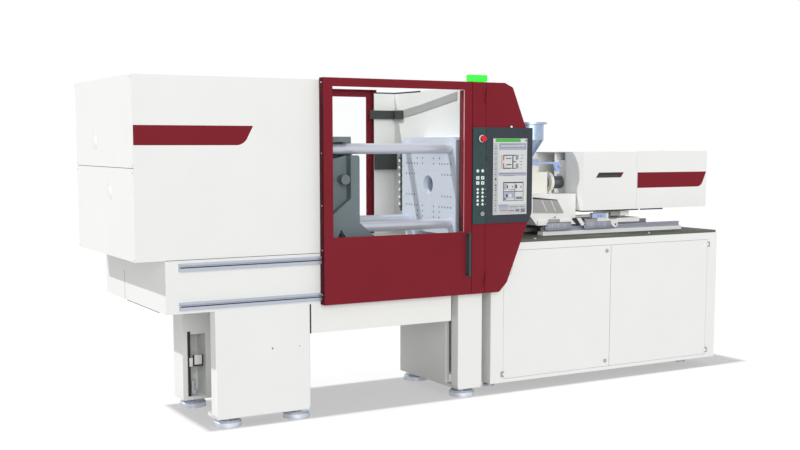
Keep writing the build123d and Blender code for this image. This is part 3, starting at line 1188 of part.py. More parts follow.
def hopper():
    """Spun steel hopper on its sliding base."""
    wall = HOPPER_WALL
    profile = [(HOPPER_NECK / 2, RAIL_PLATE_Z + RAIL_PLATE + RUN_GAP), (HOPPER_NECK / 2, HOPPER_NECK_Z),
               (HOPPER_DIAMETER / 2, HOPPER_SHELL_Z), (HOPPER_DIAMETER / 2, HOPPER_RIM_Z - 14.0),
               (HOPPER_RIM / 2, HOPPER_RIM_Z - 14.0), (HOPPER_RIM / 2, HOPPER_RIM_Z),
               (HOPPER_DIAMETER / 2 - wall, HOPPER_RIM_Z), (HOPPER_DIAMETER / 2 - wall, HOPPER_SHELL_Z + 1.5),
               (HOPPER_NECK / 2 - wall, HOPPER_NECK_Z + 1.5),
               (HOPPER_NECK / 2 - wall, RAIL_PLATE_Z + RAIL_PLATE + RUN_GAP)]
    wire = Polyline(*[(r, 0, z) for r, z in profile], close=True)
    body = Pos(HOPPER_X, AXIS_Y, 0) * revolve(make_face(wire), Axis.Z)
    base_z = (RAIL_PLATE_Z + RAIL_PLATE + RUN_GAP, RAIL_PLATE_Z + RAIL_PLATE + 22.0)
    base = block(grown((HOPPER_X, HOPPER_X), 46.0), grown((AXIS_Y, AXIS_Y), 52.0), base_z)
    return body + (base - bar_z(HOPPER_NECK, HOPPER_X, AXIS_Y, grown(base_z, 1)))


def front_hood():
    """Sliding front part of the injection cover, with a slanted grip pocket."""
    y = (AXIS_Y - HOOD_HALF + HOOD_GAP, AXIS_Y + HOOD_HALF - HOOD_GAP)
    z = (HOOD_Z[0], HOOD_Z[1] - HOOD_GAP)
    x = (HOOD_X0, HOOD_SPLIT_X + HOOD_LAP)
    body = block(x, y, z)
    body -= block((x[0] + SHEET, x[1] + 1), grown(y, -SHEET), (z[0] - 1, z[1] - SHEET))
    mouth_y = (y[0] + HOOD_RETURN, y[1] + 1)
    body -= block((x[0] - 1, x[0] + SHEET + 1), (mouth_y[0], y[1] - SHEET), (z[0] - 1, z[1] - SHEET))
    low = GRIP_Z - GRIP_HEIGHT / 2
    high = GRIP_Z + GRIP_HEIGHT / 2
    outline = [(GRIP_X[0], low), (GRIP_X[1] - GRIP_SLANT, low)]
    outline += [(GRIP_X[1], high), (GRIP_X[0] + GRIP_SLANT, high)]
    wall = [(GRIP_X[0] - 6, low - 4), (GRIP_X[1] - GRIP_SLANT + 3, low - 4), (GRIP_X[1] + 6, high + 4),
            (GRIP_X[0] + GRIP_SLANT - 3, high + 4)]
    body += plate_y(wall, (y[0] + SHEET - 1, y[0] + GRIP_DEPTH + SHEET))
    return body - plate_y(outline, (y[0] - 1, y[0] + GRIP_DEPTH))


def rear_hood():
    """Fixed rear part of the injection cover, closed at the right end."""
    y = (AXIS_Y - HOOD_HALF - SHEET, AXIS_Y + HOOD_HALF + SHEET)
    z = (HOOD_Z[0], HOOD_Z[1] + SHEET)
    body = block((HOOD_SPLIT_X, RIGHT_X), y, z)
    return body - block((HOOD_SPLIT_X - 1, RIGHT_X - SHEET), grown(y, -SHEET), (z[0] - 1, z[1] - SHEET))


def drive_unit():
    """Injection and dosing drive: two plates, cylinders, motor, and the frame under the hoods."""
    y = grown((AXIS_Y, AXIS_Y), DRIVE_HALF)
    z = (BLOCK_TOP + 30.0, HOOD_Z[1] - 60.0)
    front = block((HOOD_X0 + 15.0, HOOD_X0 + 75.0), y, z)
    front -= bar_x(BARREL_DIAMETER + 2 * TURN_GAP, (HOOD_X0 + 14.0, HOOD_X0 + 76.0), AXIS_Y, AXIS_Z)
    body = front + block(SCREW_PLATE_X, y, z)
    body -= bar_x(SCREW_DIAMETER + 8.0, grown(SCREW_PLATE_X, 1), AXIS_Y, AXIS_Z)
    for level in (-1, 1):
        body += bar_x(64.0, (HOOD_X0 + 74.0, SCREW_PLATE_X[0] + 1), AXIS_Y, AXIS_Z + level * 100.0)
    body += bar_x(130.0, (SCREW_PLATE_X[1] - 1, CARRIAGE_X1 + 170.0), AXIS_Y, AXIS_Z)
    body += around_axis(64.0, 64.0, (CARRIAGE_X1 - 30.0, CARRIAGE_X1 + 150.0))
    body += block((CARRIAGE_X1 - 70.0, CARRIAGE_X1 - 5.0), y, (BLOCK_TOP + 30.0, AXIS_Z))
    roof = HOOD_Z[1] - HOOD_GAP - SHEET - RUN_GAP
    frame_x = HOOD_SPLIT_X + HOOD_LAP + HOOD_TRAVEL + 20.0
    for side in (-1, 1):
        rail_y = AXIS_Y + side * (DRIVE_HALF - HOOD_RAIL / 2)
        body += block((HOOD_X0 + 15.0, frame_x + 1), grown((rail_y, rail_y), HOOD_RAIL / 2), (z[1] - 1, roof))
    frame = block((frame_x, frame_x + 8.0), grown((AXIS_Y, AXIS_Y), HOOD_HALF), (DECK_TOP + 10.0, HOOD_Z[1]))
    return body + frame


NODES = {
    "clamp_frame": clamp_frame,
    "rear_frame_box": rear_frame_box,
    "drop_chute": drop_chute,
    "left_pedestal": lambda: pedestal(LEFT_LEG_X, FOOT_X[:2]),
    "right_pedestal": lambda: pedestal(RIGHT_LEG_X, FOOT_X[2:]),
    "levelling_feet": levelling_feet,
    "clamp_cover": clamp_cover,
    "end_panels": end_panels,
    "door_tracks": door_tracks,
    "fixed_platen": fixed_platen,
    "end_platen": end_platen,
    "tie_bars": tie_bars,
    "tie_bar_nuts": tie_bar_nuts,
    "clamp_cylinder": clamp_cylinder,
    "crosshead": crosshead,
    "upper_rear_links": lambda: rear_links(1),
    "lower_rear_links": lambda: rear_links(-1),
    "upper_front_links": lambda: front_links(1),
    "lower_front_links": lambda: front_links(-1),
    "upper_crosshead_links": lambda: crosshead_links(1),
    "lower_crosshead_links": lambda: crosshead_links(-1),
    "moving_platen": moving_platen,
    "ejector_rod": ejector_rod,
    "rear_guard_panel": rear_guard_panel,
    "guard_lock_box": guard_lock_box,
    "water_manifold": water_manifold,
    "front_door": front_door,
    "front_window": front_window,
    "door_handle": door_handle,
    "door_runners": door_runners,
    "rear_guard_door": rear_guard_door,
    "rear_window": rear_window,
    "control_column": control_column,
    "key_panel": key_panel,
    "emergency_stop": emergency_stop,
    "key_switch": key_switch,
    "control_wing": control_wing,
    "screen_panel": screen_panel,
    "touch_screen": touch_screen,
    "status_lamp": status_lamp,
    "cabinet_frame": cabinet_frame,
    "base_tray": base_tray,
    "injection_rails": injection_rails,
    "cabinet_door_left": cabinet_door_left,
    "cabinet_door_right": cabinet_door_right,
    "cabinet_hinges": cabinet_hinges,
    "latch_lower": lambda: latch(LATCH_Z[0]),
    "latch_upper": lambda: latch(LATCH_Z[1]),
    "runner_blocks": runner_blocks,
    "carriage": carriage,
    "barrel_guard": barrel_guard,
    "barrel": barrel,
    "heater_bands": heater_bands,
    "screw": screw,
    "feed_block": feed_block,
    "hopper_rail": hopper_rail,
    "hopper": hopper,
    "front_hood": front_hood,
    "rear_hood": rear_hood,
    "drive_unit": drive_unit,
}

os.makedirs("parts", exist_ok=True)
for name, make in NODES.items():
    export_step(make(), f"parts/{name}.step")
report_toggle()
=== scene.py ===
import math

import bmesh
import bpy
from mathutils import Matrix, Vector


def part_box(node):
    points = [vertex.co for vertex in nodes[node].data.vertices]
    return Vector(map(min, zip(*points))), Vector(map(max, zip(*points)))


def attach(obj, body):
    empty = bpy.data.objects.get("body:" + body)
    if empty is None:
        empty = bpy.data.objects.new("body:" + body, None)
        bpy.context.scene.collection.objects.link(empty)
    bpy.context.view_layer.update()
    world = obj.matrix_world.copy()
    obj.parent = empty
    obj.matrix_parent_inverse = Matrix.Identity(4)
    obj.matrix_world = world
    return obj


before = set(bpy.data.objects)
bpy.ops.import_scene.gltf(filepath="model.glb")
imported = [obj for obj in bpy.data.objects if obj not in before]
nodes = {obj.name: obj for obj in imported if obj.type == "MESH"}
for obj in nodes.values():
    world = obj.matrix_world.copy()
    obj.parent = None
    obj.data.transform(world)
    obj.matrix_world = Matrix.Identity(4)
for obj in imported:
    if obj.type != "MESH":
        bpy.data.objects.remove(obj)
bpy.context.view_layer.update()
scene = bpy.context.scene

# Studio: the eye stands in front of the clamp end and looks 30 degrees to the right, slightly down.
# One hard key from above left and behind, one broad fill from the front, and an even white sky.
# The floor has its own lamp overhead, which only legs, bed and cabinet shade, for a crisp contact shadow.
EYE = (-4.0135, -6.63374, 1.635)
EYE_DOWN = 6.14
EYE_RIGHT = 30.0
SENSOR_MM = 36.0
LENS_MM = 51.35
PICTURE_SHIFT = 0.0519
SKY_LIGHT = 0.46
KEY_PATH = (0.85, -0.33, -1.0)
KEY_LEVEL = 0.64 * math.pi
KEY_SPREAD = 1.0
FILL_PATH = (0.30, 1.0, -0.22)
FILL_LEVEL = 0.56 * math.pi
FILL_SPREAD = 40.0
FLOOR_PATH = (0.345, 0.0, -1.0)
FLOOR_LEVEL = 1.50 * math.pi
FLOOR_SPREAD = 4.0
FLOOR_SIZE = 60.0
FLOOR_TONE = 0.30
FLOOR_GLOW = 0.46
FLAG_LOW = (-1.117, -0.565, 0.598)
FLAG_HIGH = (-0.138, 0.205, 0.602)

eye_data = bpy.data.cameras.new("eye")
eye_data.sensor_width = SENSOR_MM
eye_data.lens = LENS_MM
eye_data.shift_y = PICTURE_SHIFT
eye_data.clip_end = 100.0
eye = bpy.data.objects.new("eye", eye_data)
eye.location = EYE
eye.rotation_euler = (math.radians(90 - EYE_DOWN), 0, math.radians(-EYE_RIGHT))
scene.collection.objects.link(eye)
scene.camera = eye
scene.view_settings.view_transform = "Standard"


def linear(code):
    """The linear colour of an sRGB hex value, as the nodes want it."""
    parts = [int(code[i:i + 2], 16) / 255 for i in (1, 3, 5)]
    return [p / 12.92 if p <= 0.04045 else ((p + 0.055) / 1.055) ** 2.4 for p in parts] + [1.0]


def add_node(tree, kind, settings=None, inputs=None):
    """Adds one node with its settings, and fills its inputs with values or links."""
    node = tree.nodes.new(kind)
    for key, value in (settings or {}).items():
        setattr(node, key, value)
    for key, value in (inputs or {}).items():
        if isinstance(value, bpy.types.NodeSocket):
            tree.links.new(value, node.inputs[key])
        else:
            node.inputs[key].default_value = value
    return node


def seen_by_eye_or_gloss(tree):
    """1 for rays that show the background itself or its mirror image, 0 for rays that only light."""
    path = add_node(tree, "ShaderNodeLightPath")
    seen = add_node(tree, "ShaderNodeMath", {"operation": "MAXIMUM"},
                    {0: path.outputs["Is Camera Ray"], 1: path.outputs["Is Glossy Ray"]})
    return add_node(tree, "ShaderNodeMath", {"operation": "MAXIMUM"},
                    {0: seen.outputs[0], 1: path.outputs["Is Transmission Ray"]}).outputs[0]


sky = bpy.data.worlds.new("white_sky")
sky.use_nodes = True
scene.world = sky
tree = sky.node_tree
tree.nodes.clear()
lighting = add_node(tree, "ShaderNodeBackground", None, {"Color": linear("#ffffff"), "Strength": SKY_LIGHT})
showing = add_node(tree, "ShaderNodeBackground", None, {"Color": linear("#ffffff"), "Strength": 1.0})
choice = add_node(tree, "ShaderNodeMixShader", None,
                  {0: seen_by_eye_or_gloss(tree), 1: lighting.outputs[0], 2: showing.outputs[0]})
add_node(tree, "ShaderNodeOutputWorld", None, {"Surface": choice.outputs[0]})

floor_paint = bpy.data.materials.new("studio_floor_white")
floor_paint.use_nodes = True
tree = floor_paint.node_tree
tree.nodes.clear()
matt = add_node(tree, "ShaderNodeBsdfDiffuse", None, {"Color": [FLOOR_TONE, FLOOR_TONE, FLOOR_TONE, 1]})
lift = add_node(tree, "ShaderNodeEmission", None, {"Color": linear("#ffffff"), "Strength": FLOOR_GLOW})
dark = add_node(tree, "ShaderNodeEmission", None, {"Color": linear("#000000"), "Strength": 0.0})
glow = add_node(tree, "ShaderNodeMixShader", None,
                {0: seen_by_eye_or_gloss(tree), 1: dark.outputs[0], 2: lift.outputs[0]})
both = add_node(tree, "ShaderNodeAddShader", None, {0: matt.outputs[0], 1: glow.outputs[0]})
add_node(tree, "ShaderNodeOutputMaterial", None, {"Surface": both.outputs[0]})

bm = bmesh.new()
bmesh.ops.create_grid(bm, x_segments=1, y_segments=1, size=FLOOR_SIZE / 2)
floor_mesh = bpy.data.meshes.new("studio_floor")
bm.to_mesh(floor_mesh)
bm.free()
floor = bpy.data.objects.new("studio_floor", floor_mesh)
scene.collection.objects.link(floor)
floor_mesh.materials.append(floor_paint)

# A studio flag, a card that no ray sees but the floor lamp's. It stops the light that would fall
# through the chute.
bm = bmesh.new()
bmesh.ops.create_cube(bm, size=1.0)
bmesh.ops.scale(bm, vec=[h - l for l, h in zip(FLAG_LOW, FLAG_HIGH)], verts=bm.verts)
bmesh.ops.translate(bm, vec=[(h + l) / 2 for l, h in zip(FLAG_LOW, FLAG_HIGH)], verts=bm.verts)
flag_mesh = bpy.data.meshes.new("studio_flag")
bm.to_mesh(flag_mesh)
bm.free()
flag = bpy.data.objects.new("studio_flag", flag_mesh)
scene.collection.objects.link(flag)
flag_mesh.materials.append(floor_paint)
flag.visible_camera = flag.visible_diffuse = flag.visible_glossy = flag.visible_transmission = False


def link_list(name, members, state):
    """A list of objects that a lamp lights or is shaded by, or leaves out."""
    made = bpy.data.collections.new(name)
    for member in members:
        made.objects.link(member)
    for entry in made.collection_objects:
        entry.light_linking.link_state = state
    return made


GROUNDED = ("left_pedestal", "right_pedestal", "levelling_feet", "clamp_frame", "drop_chute", "cabinet_frame",
            "cabinet_door_left", "cabinet_door_right")
only_floor = link_list("only_floor", [floor], "INCLUDE")
all_but_floor = link_list("all_but_floor", [floor], "EXCLUDE")
all_but_flag = link_list("all_but_flag", [flag], "EXCLUDE")
near_the_floor = link_list("near_the_floor", [flag] + [nodes[name] for name in GROUNDED], "INCLUDE")
lamps = (("key", KEY_PATH, KEY_LEVEL, KEY_SPREAD, all_but_floor, all_but_flag),
         ("fill", FILL_PATH, FILL_LEVEL, FILL_SPREAD, all_but_floor, all_but_flag),
         ("floor_lamp", FLOOR_PATH, FLOOR_LEVEL, FLOOR_SPREAD, only_floor, near_the_floor))
for name, path, level, spread, lit, shading in lamps:
    lamp_data = bpy.data.lights.new(name, "SUN")
    lamp_data.energy = level
    lamp_data.angle = math.radians(spread)
    lamp = bpy.data.objects.new(name, lamp_data)
    lamp.rotation_euler = Vector(path).to_track_quat("-Z", "Y").to_euler()
    scene.collection.objects.link(lamp)
    lamp.light_linking.receiver_collection = lit
    lamp.light_linking.blocker_collection = shading

# Sheet housings, frame, legs and carriage: 3 mm mild steel, folded and welded, then sprayed with
# polyester powder and baked. The eye gets an even off-white with a fine orange peel and a satin shine.
MM = 0.001
NOISE_MIDDLE = (0.3, 0.7)     # where most values of a noise lie


def start_finish(name):
    """A new material with its surface shader, and the object's own coordinates in metres."""
    finish = bpy.data.materials.new(name)
    finish.use_nodes = True
    tree = finish.node_tree
    tree.nodes.clear()
    surface = add_node(tree, "ShaderNodeBsdfPrincipled")
    add_node(tree, "ShaderNodeOutputMaterial", None, {"Surface": surface.outputs[0]})
    place = add_node(tree, "ShaderNodeTexCoord").outputs["Object"]
    return finish, tree, surface, place


def cloud(tree, place, grain_mm, detail=2.0, stretch=None):
    """A noise whose lumps are grain_mm across, longer along one way if stretch says so."""
    if stretch:
        place = add_node(tree, "ShaderNodeMapping", None, {"Vector": place, "Scale": stretch}).outputs[0]
    noise = add_node(tree, "ShaderNodeTexNoise", None,
                     {"Vector": place, "Scale": 1 / (grain_mm * MM), "Detail": detail, "Roughness": 0.5})
    return noise.outputs["Fac"]


def spread_of(tree, fac, low, high):
    """Stretches the middle of a noise to the range low to high."""
    stretched = add_node(tree, "ShaderNodeMapRange", None,
                         {"Value": fac, "From Min": NOISE_MIDDLE[0], "From Max": NOISE_MIDDLE[1],
                          "To Min": low, "To Max": high})
    return stretched.outputs[0]


def two_tones(tree, fac, first, second):
    """Wanders between two hex colours, or between a hex colour and one that another node gives."""
    tones = [linear(tone) if isinstance(tone, str) else tone for tone in (first, second)]
    mixed = add_node(tree, "ShaderNodeMix", {"data_type": "RGBA"}, {0: fac, 6: tones[0], 7: tones[1]})
    return mixed.outputs[2]


def raise_by(tree, surface, height, depth_mm, strength=1.0):
    """Lets a pattern raise the surface by depth_mm at most."""
    bump = add_node(tree, "ShaderNodeBump", None,
                    {"Height": height, "Distance": depth_mm * MM, "Strength": strength})
    tree.links.new(bump.outputs[0], surface.inputs["Normal"])


def powder_coat(name, tone, second_tone, roughness, shine=0.35, peel_mm=1.6, peel_depth=0.02):
    """Baked powder: tones that wander over a hand's width, orange peel, satin."""
    finish, tree, surface, place = start_finish(name)
    wander = spread_of(tree, cloud(tree, place, 260), 0, 1)
    tree.links.new(two_tones(tree, wander, tone, second_tone), surface.inputs["Base Color"])
    haze = spread_of(tree, cloud(tree, place, 45), roughness - 0.04, roughness + 0.05)
    tree.links.new(haze, surface.inputs["Roughness"])
    raise_by(tree, surface, cloud(tree, place, peel_mm), peel_depth)
    surface.inputs["Specular IOR Level"].default_value = shine
    return finish


def dress(finish, *names):
    """Gives CAD nodes their finish."""
    for name in names:
        for place in nodes[name].material_slots:
            place.material = finish


white_coat = powder_coat("white_polyester_powder_coat", "#f0f1ee", "#eeefec", 0.46)
dress(white_coat, "clamp_frame", "rear_frame_box", "drop_chute", "left_pedestal", "right_pedestal",
      "clamp_cover", "end_panels", "rear_guard_panel", "cabinet_frame", "cabinet_door_left",
      "cabinet_door_right", "barrel_guard", "drive_unit", "front_hood", "rear_hood", "carriage")


def corners(node):
    """Lowest and highest corner of a CAD node at rest, in millimetres."""
    low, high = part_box(node)
    return [c / MM for c in low], [c / MM for c in high]


def slab(bm, low, high, edge=0.0, segments=2):
    """A bar or plate between two corners in mm, with its edges rounded by edge."""
    made = bmesh.ops.create_cube(bm, size=1.0)["verts"]
    bmesh.ops.scale(bm, vec=[(h - l) * MM for l, h in zip(low, high)], verts=made)
    bmesh.ops.translate(bm, vec=[(h + l) / 2 * MM for l, h in zip(low, high)], verts=made)
    if edge:
        sides = list({e for v in made for e in v.link_edges})
        bmesh.ops.bevel(bm, geom=sides, offset=edge * MM, affect="EDGES", segments=segments,
                        profile=0.5, material=-1)


def round_bar(bm, centre, along, radius, length, sides=20, tip=None, edge=0.0):
    """A round bar or disc that starts at centre and runs along a direction, in mm, its tip narrower."""
    turn = Vector(along).to_track_quat("Z", "Y").to_matrix().to_4x4()
    middle = Vector(centre) + Vector(along).normalized() * length / 2
    seat = Matrix.Translation(middle * MM) @ turn
    made = bmesh.ops.create_cone(bm, cap_ends=True, segments=sides, radius1=radius * MM,
                                 radius2=(radius if tip is None else tip) * MM,
                                 depth=length * MM, matrix=seat)["verts"]
    if edge:
        out = Vector(along).normalized()
        far = [v for v in made if (v.co - middle * MM).dot(out) > 0]
        rim = list({e for v in far for e in v.link_edges if e.other_vert(v) in far})
        bmesh.ops.bevel(bm, geom=rim, offset=edge * MM, affect="EDGES", segments=3, profile=0.5, material=-1)


def finish_piece(name, bm, finish, body, smooth=True):
    """Closes a bmesh into a piece that rides on a CAD body."""
    bmesh.ops.remove_doubles(bm, verts=bm.verts, dist=0.00001)
    bmesh.ops.recalc_face_normals(bm, faces=bm.faces)
    mesh = bpy.data.meshes.new(name)
    bm.to_mesh(mesh)
    bm.free()
    if smooth:
        mesh.set_sharp_from_angle(angle=math.radians(35))
        mesh.polygons.foreach_set("use_smooth", [True] * len(mesh.polygons))
    piece = bpy.data.objects.new(name, mesh)
    scene.collection.objects.link(piece)
    mesh.materials.append(finish)
    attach(piece, body)


# Black rubber: sealing strips and gap covers, extruded and pressed in place, as thin dark lines under
# the cover, between the end panels and beside the left leg. The same black is painted shade in the leg
# pocket and under the hoods.


def rubber(name, tone, roughness=0.7):
    """A dull dark finish with a faint grain: extruded rubber, print, seams, and painted shade."""
    finish, tree, surface, place = start_finish(name)
    tree.links.new(two_tones(tree, spread_of(tree, cloud(tree, place, 12), 0, 1), tone, "#2a2c2c"),
                   surface.inputs["Base Color"])
    surface.inputs["Roughness"].default_value = roughness
    raise_by(tree, surface, cloud(tree, place, 0.8), 0.03)
    return finish


PANEL_SEAM_Z = 1499.0
LEG_GAP_X = (-1126.0, -1119.0)
rubber_and_shade_black = rubber("extruded_rubber_and_painted_shade_black", "#1c1e1e")
(cover_left, cover_front, cover_low), (cover_right, _, _) = corners("clamp_cover")
(bed_left, bed_front, bed_low), (_, bed_back, _) = corners("clamp_frame")
(end_left, end_front, end_low), (_, end_back, end_high) = corners("end_panels")
(_, _, chute_low), _ = corners("drop_chute")
bm = bmesh.new()
slab(bm, (bed_left, bed_front - 0.8, cover_low - 1.5), (cover_right, bed_front + 4, cover_low + 1.5), 0.5)
slab(bm, (end_left + 1, end_front + 4, PANEL_SEAM_Z - 2), (end_left + 6, end_back - 4, PANEL_SEAM_Z + 2), 0.5)
slab(bm, (LEG_GAP_X[0], bed_front + 0.6, chute_low), (LEG_GAP_X[1], bed_front + 6, bed_low), 0.5)
finish_piece("housing_seals", bm, rubber_and_shade_black, "machine_frame")

# Screws and plugs of the housings: zinc-plated steel button heads, and white caps in the lifting holes
# of the end panels. The bright plating gives small glints at the corners of the panels.


def plated_steel(name, tone, second_tone, roughness, metal=1.0, grain=None):
    """Milled, ground or rolled steel with plating: fine tool marks in a metal shine."""
    finish, tree, surface, place = start_finish(name)
    marks = cloud(tree, place, 1.2, 3.0, grain or (1, 1, 1))
    tree.links.new(two_tones(tree, spread_of(tree, cloud(tree, place, 60), 0, 1), tone, second_tone),
                   surface.inputs["Base Color"])
    tree.links.new(spread_of(tree, marks, roughness - 0.06, roughness + 0.08), surface.inputs["Roughness"])
    raise_by(tree, surface, marks, 0.006)
    surface.inputs["Metallic"].default_value = metal
    return finish


def socket_screw(bm, centre, along, radius, height=2.4):
    """A button-head screw with its round drive recess."""
    out = Vector(along).normalized()
    turn = out.to_track_quat("Z", "Y").to_matrix().to_4x4()
    seat = Matrix.Translation((Vector(centre) + out * height / 2) * MM) @ turn
    made = bmesh.ops.create_cone(bm, cap_ends=True, segments=12, radius1=radius * MM,
                                 radius2=radius * 0.8 * MM, depth=height * MM, matrix=seat)["verts"]
    flats = [f for f in {f for v in made for f in v.link_faces} if len(f.verts) == 12]
    top = max(flats, key=lambda f: f.calc_center_median().dot(out))
    bmesh.ops.inset_region(bm, faces=[top], thickness=radius * 0.4 * MM, depth=0)
    bmesh.ops.translate(bm, vec=out * (-height * 0.6 * MM), verts=list(top.verts))


PLUG_PLACES = ((175.0, 1642.0, 40.0), (-109.0, 1356.0, 36.0))     # y, z and radius
BED_SCREW = (-1196.0, 446.0)
# This plated finish also draws the bright strips on the runner block plates, which are painted highlights.
zinc_and_highlight_plate = plated_steel("plated_zinc_and_painted_highlight", "#b3b8be", "#a4a9b0", 0.36, 0.7)
bm = bmesh.new()
for y in (end_front + 12, end_back - 14):
    for z in (end_low + 12, PANEL_SEAM_Z - 20, PANEL_SEAM_Z + 16, end_high - 14):
        socket_screw(bm, (end_left, y, z), (-1, 0, 0), 4.5)
socket_screw(bm, (BED_SCREW[0], bed_front, BED_SCREW[1]), (0, -1, 0), 4.0)
finish_piece("housing_screws", bm, zinc_and_highlight_plate, "machine_frame")
bm = bmesh.new()
for y, z, radius in PLUG_PLACES:
    round_bar(bm, (end_left + 0.5, y, z), (-1, 0, 0), radius, 2.2, 40, None, 0.8)
    round_bar(bm, (end_left - 1.6, y, z), (-1, 0, 0), radius * 0.55, 1.4, 32, None, 0.6)
finish_piece("end_panel_plugs", bm, white_coat, "machine_frame")

# Red stripes: cast vinyl film, cut to a slanted end with one rounded corner and laid on the white
# sheet of the clamp cover and of the rear hood. They carry no lettering.
FILM = 0.5
CLAMP_STRIPE_Z = (1627, 1736)
CLAMP_STRIPE_END = (-1531, -1474)     # x of its lower and upper right corner
HOOD_STRIPE_Z = (1323, 1433)
HOOD_STRIPE_END = 2121


def plate(bm, corner_points, y, depth, rounded=(), radius=0.0):
    """A flat plate facing the operator: corner points (x, z) in order, some rounded, from y to y + depth."""
    ring = [bm.verts.new((x * MM, y * MM, z * MM)) for x, z in corner_points]
    sheet = bm.faces.new(ring)
    if rounded:
        made = bmesh.ops.bevel(bm, geom=[ring[n] for n in rounded], offset=radius * MM, affect="VERTICES",
                               segments=8, profile=0.5, material=-1)
        sheet = max((f for v in made["verts"] for f in v.link_faces), key=lambda f: f.calc_area())
    pushed = bmesh.ops.extrude_face_region(bm, geom=[sheet])
    bmesh.ops.translate(bm, vec=(0, depth * MM, 0),
                        verts=[g for g in pushed["geom"] if isinstance(g, bmesh.types.BMVert)])


red_film = powder_coat("cast_red_vinyl_film", "#7f232e", "#7d222c", 0.48, 0.08, 3.0, 0.004)
bm = bmesh.new()
plate(bm, [(cover_left + 0.5, CLAMP_STRIPE_Z[1]), (CLAMP_STRIPE_END[1], CLAMP_STRIPE_Z[1]),
           (CLAMP_STRIPE_END[0], CLAMP_STRIPE_Z[0]), (cover_left + 0.5, CLAMP_STRIPE_Z[0])],
      cover_front - FILM, FILM + 0.05, [2], 42)
finish_piece("clamp_stripe", bm, red_film, "machine_frame", False)
(hood_left, hood_front, hood_low), (hood_right, _, _) = corners("rear_hood")
bm = bmesh.new()
plate(bm, [(hood_left + 6, HOOD_STRIPE_Z[1]), (hood_right - 4, HOOD_STRIPE_Z[1] - 1),
           (HOOD_STRIPE_END, HOOD_STRIPE_Z[0]), (hood_left + 6, HOOD_STRIPE_Z[0])],
      hood_front - FILM, FILM + 0.05, [2], 35)
finish_piece("hood_stripe", bm, red_film, "injection_unit", False)

# Legs: a black strip down the left side of the outer foot pocket is painted shade, and a folded white
# bracket is screwed across it, with a black plate behind it as its painted shadow. Thin rubber strips fill
# the seams between the frames, and a small black plug closes a hole in the front of the leg.
POCKET_SHADE_STRIP = ((-1682.0, 18.0, 84.0), (-1664.0, 25.0, 486.0))
BRACKET_SHADOW_PLATE = ((-1649, 20, 266), (-1582, 25, 337))
BRACKET_FOOT = ((-1672, 14, 268), (-1651, 21, 322))
BRACKET_FACE = ((-1639, 15, 277), (-1592, 21, 337))
FRAME_SEAM_TOP = 868
LEG_PLUG = (-1370.0, 447.0)
LEG_PLUG_HALF = 4.5
bm = bmesh.new()
slab(bm, *POCKET_SHADE_STRIP, 1.0)
slab(bm, *BRACKET_SHADOW_PLATE, 0.6)
slab(bm, (bed_left - 0.6, bed_back - 1.5, bed_low + 2),
     (bed_left + 3, bed_back + 1.5, FRAME_SEAM_TOP), 0.3)
slab(bm, (bed_left - 0.4, bed_front + 120, bed_low - 2.5), (bed_left + 5, bed_back - 40, bed_low + 1), 0.3)
slab(bm, (LEG_PLUG[0] - LEG_PLUG_HALF, bed_front - 0.3, LEG_PLUG[1] - LEG_PLUG_HALF),
     (LEG_PLUG[0] + LEG_PLUG_HALF, bed_front + 1, LEG_PLUG[1] + LEG_PLUG_HALF), 0.4)
finish_piece("leg_edgings_and_painted_shade", bm, rubber_and_shade_black, "machine_frame")
bm = bmesh.new()
slab(bm, *BRACKET_FOOT, 1.0)
slab(bm, *BRACKET_FACE, 1.0)
finish_piece("pocket_bracket", bm, white_coat, "machine_frame")

# Levelling feet: turned steel pads, screws and lock nuts, zinc plated and screwed into the legs and
# the cabinet from below. The plating gives the eye a bright, slightly blue metal.
foot_plate = plated_steel("zinc_plated_turned_steel", "#e3e8f3", "#ced5e3", 0.28, 0.5)
dress(foot_plate, "levelling_feet")

# Guide rails of the front and rear guard: drawn aluminium, anodised clear, screwed on in a row.
# The eye gets pale blue-grey bars with a dark running groove and small caps over the screws.
GROOVE_HEIGHT = 7.0
GROOVE_DROP = 4.0
CAP_RISE = 13.0
CAP_RADIUS = 4.2
CAP_PITCH = 120.0
TRACK_LEVELS = (732.5, 951.0)


def drawn_metal(name, tone, second_tone, roughness, along, metal=1.0):
    """Drawn or ground metal: fine lines that run the long way of the bar."""
    finish, tree, surface, place = start_finish(name)
    stretch = [0.02 if a else 1.0 for a in along]
    lines = cloud(tree, place, 1.5, 3.0, stretch)
    tree.links.new(two_tones(tree, spread_of(tree, lines, 0, 1), tone, second_tone),
                   surface.inputs["Base Color"])
    tree.links.new(spread_of(tree, lines, roughness - 0.05, roughness + 0.06), surface.inputs["Roughness"])
    raise_by(tree, surface, lines, 0.008)
    surface.inputs["Metallic"].default_value = metal
    return finish


anodised = drawn_metal("clear_anodised_aluminium", "#bbc1cd", "#adb3c0", 0.36, (1, 0, 0), 0.7)
dress(anodised, "door_tracks")
dark_groove = rubber("dark_running_groove", "#3a3f4c", 0.35)
(track_left, track_front, _), (track_right, track_back, _) = corners("door_tracks")
grooves = bmesh.new()
caps = bmesh.new()
for face, out in ((track_front, -1), (track_back, 1)):
    for z in TRACK_LEVELS:
        y = sorted((face, face + out * 0.4))
        slab(grooves, (track_left + 2, y[0], z - GROOVE_DROP),
             (track_right - 2, y[1], z - GROOVE_DROP + GROOVE_HEIGHT))
        x = track_left + 40
        while x < track_right - 20:
            round_bar(caps, (x, face, z + CAP_RISE), (0, out, 0), CAP_RADIUS, 0.5, 12)
            x += CAP_PITCH
finish_piece("rail_grooves", grooves, dark_groove, "machine_frame", False)
finish_piece("rail_screw_caps", caps, zinc_and_highlight_plate, "machine_frame")

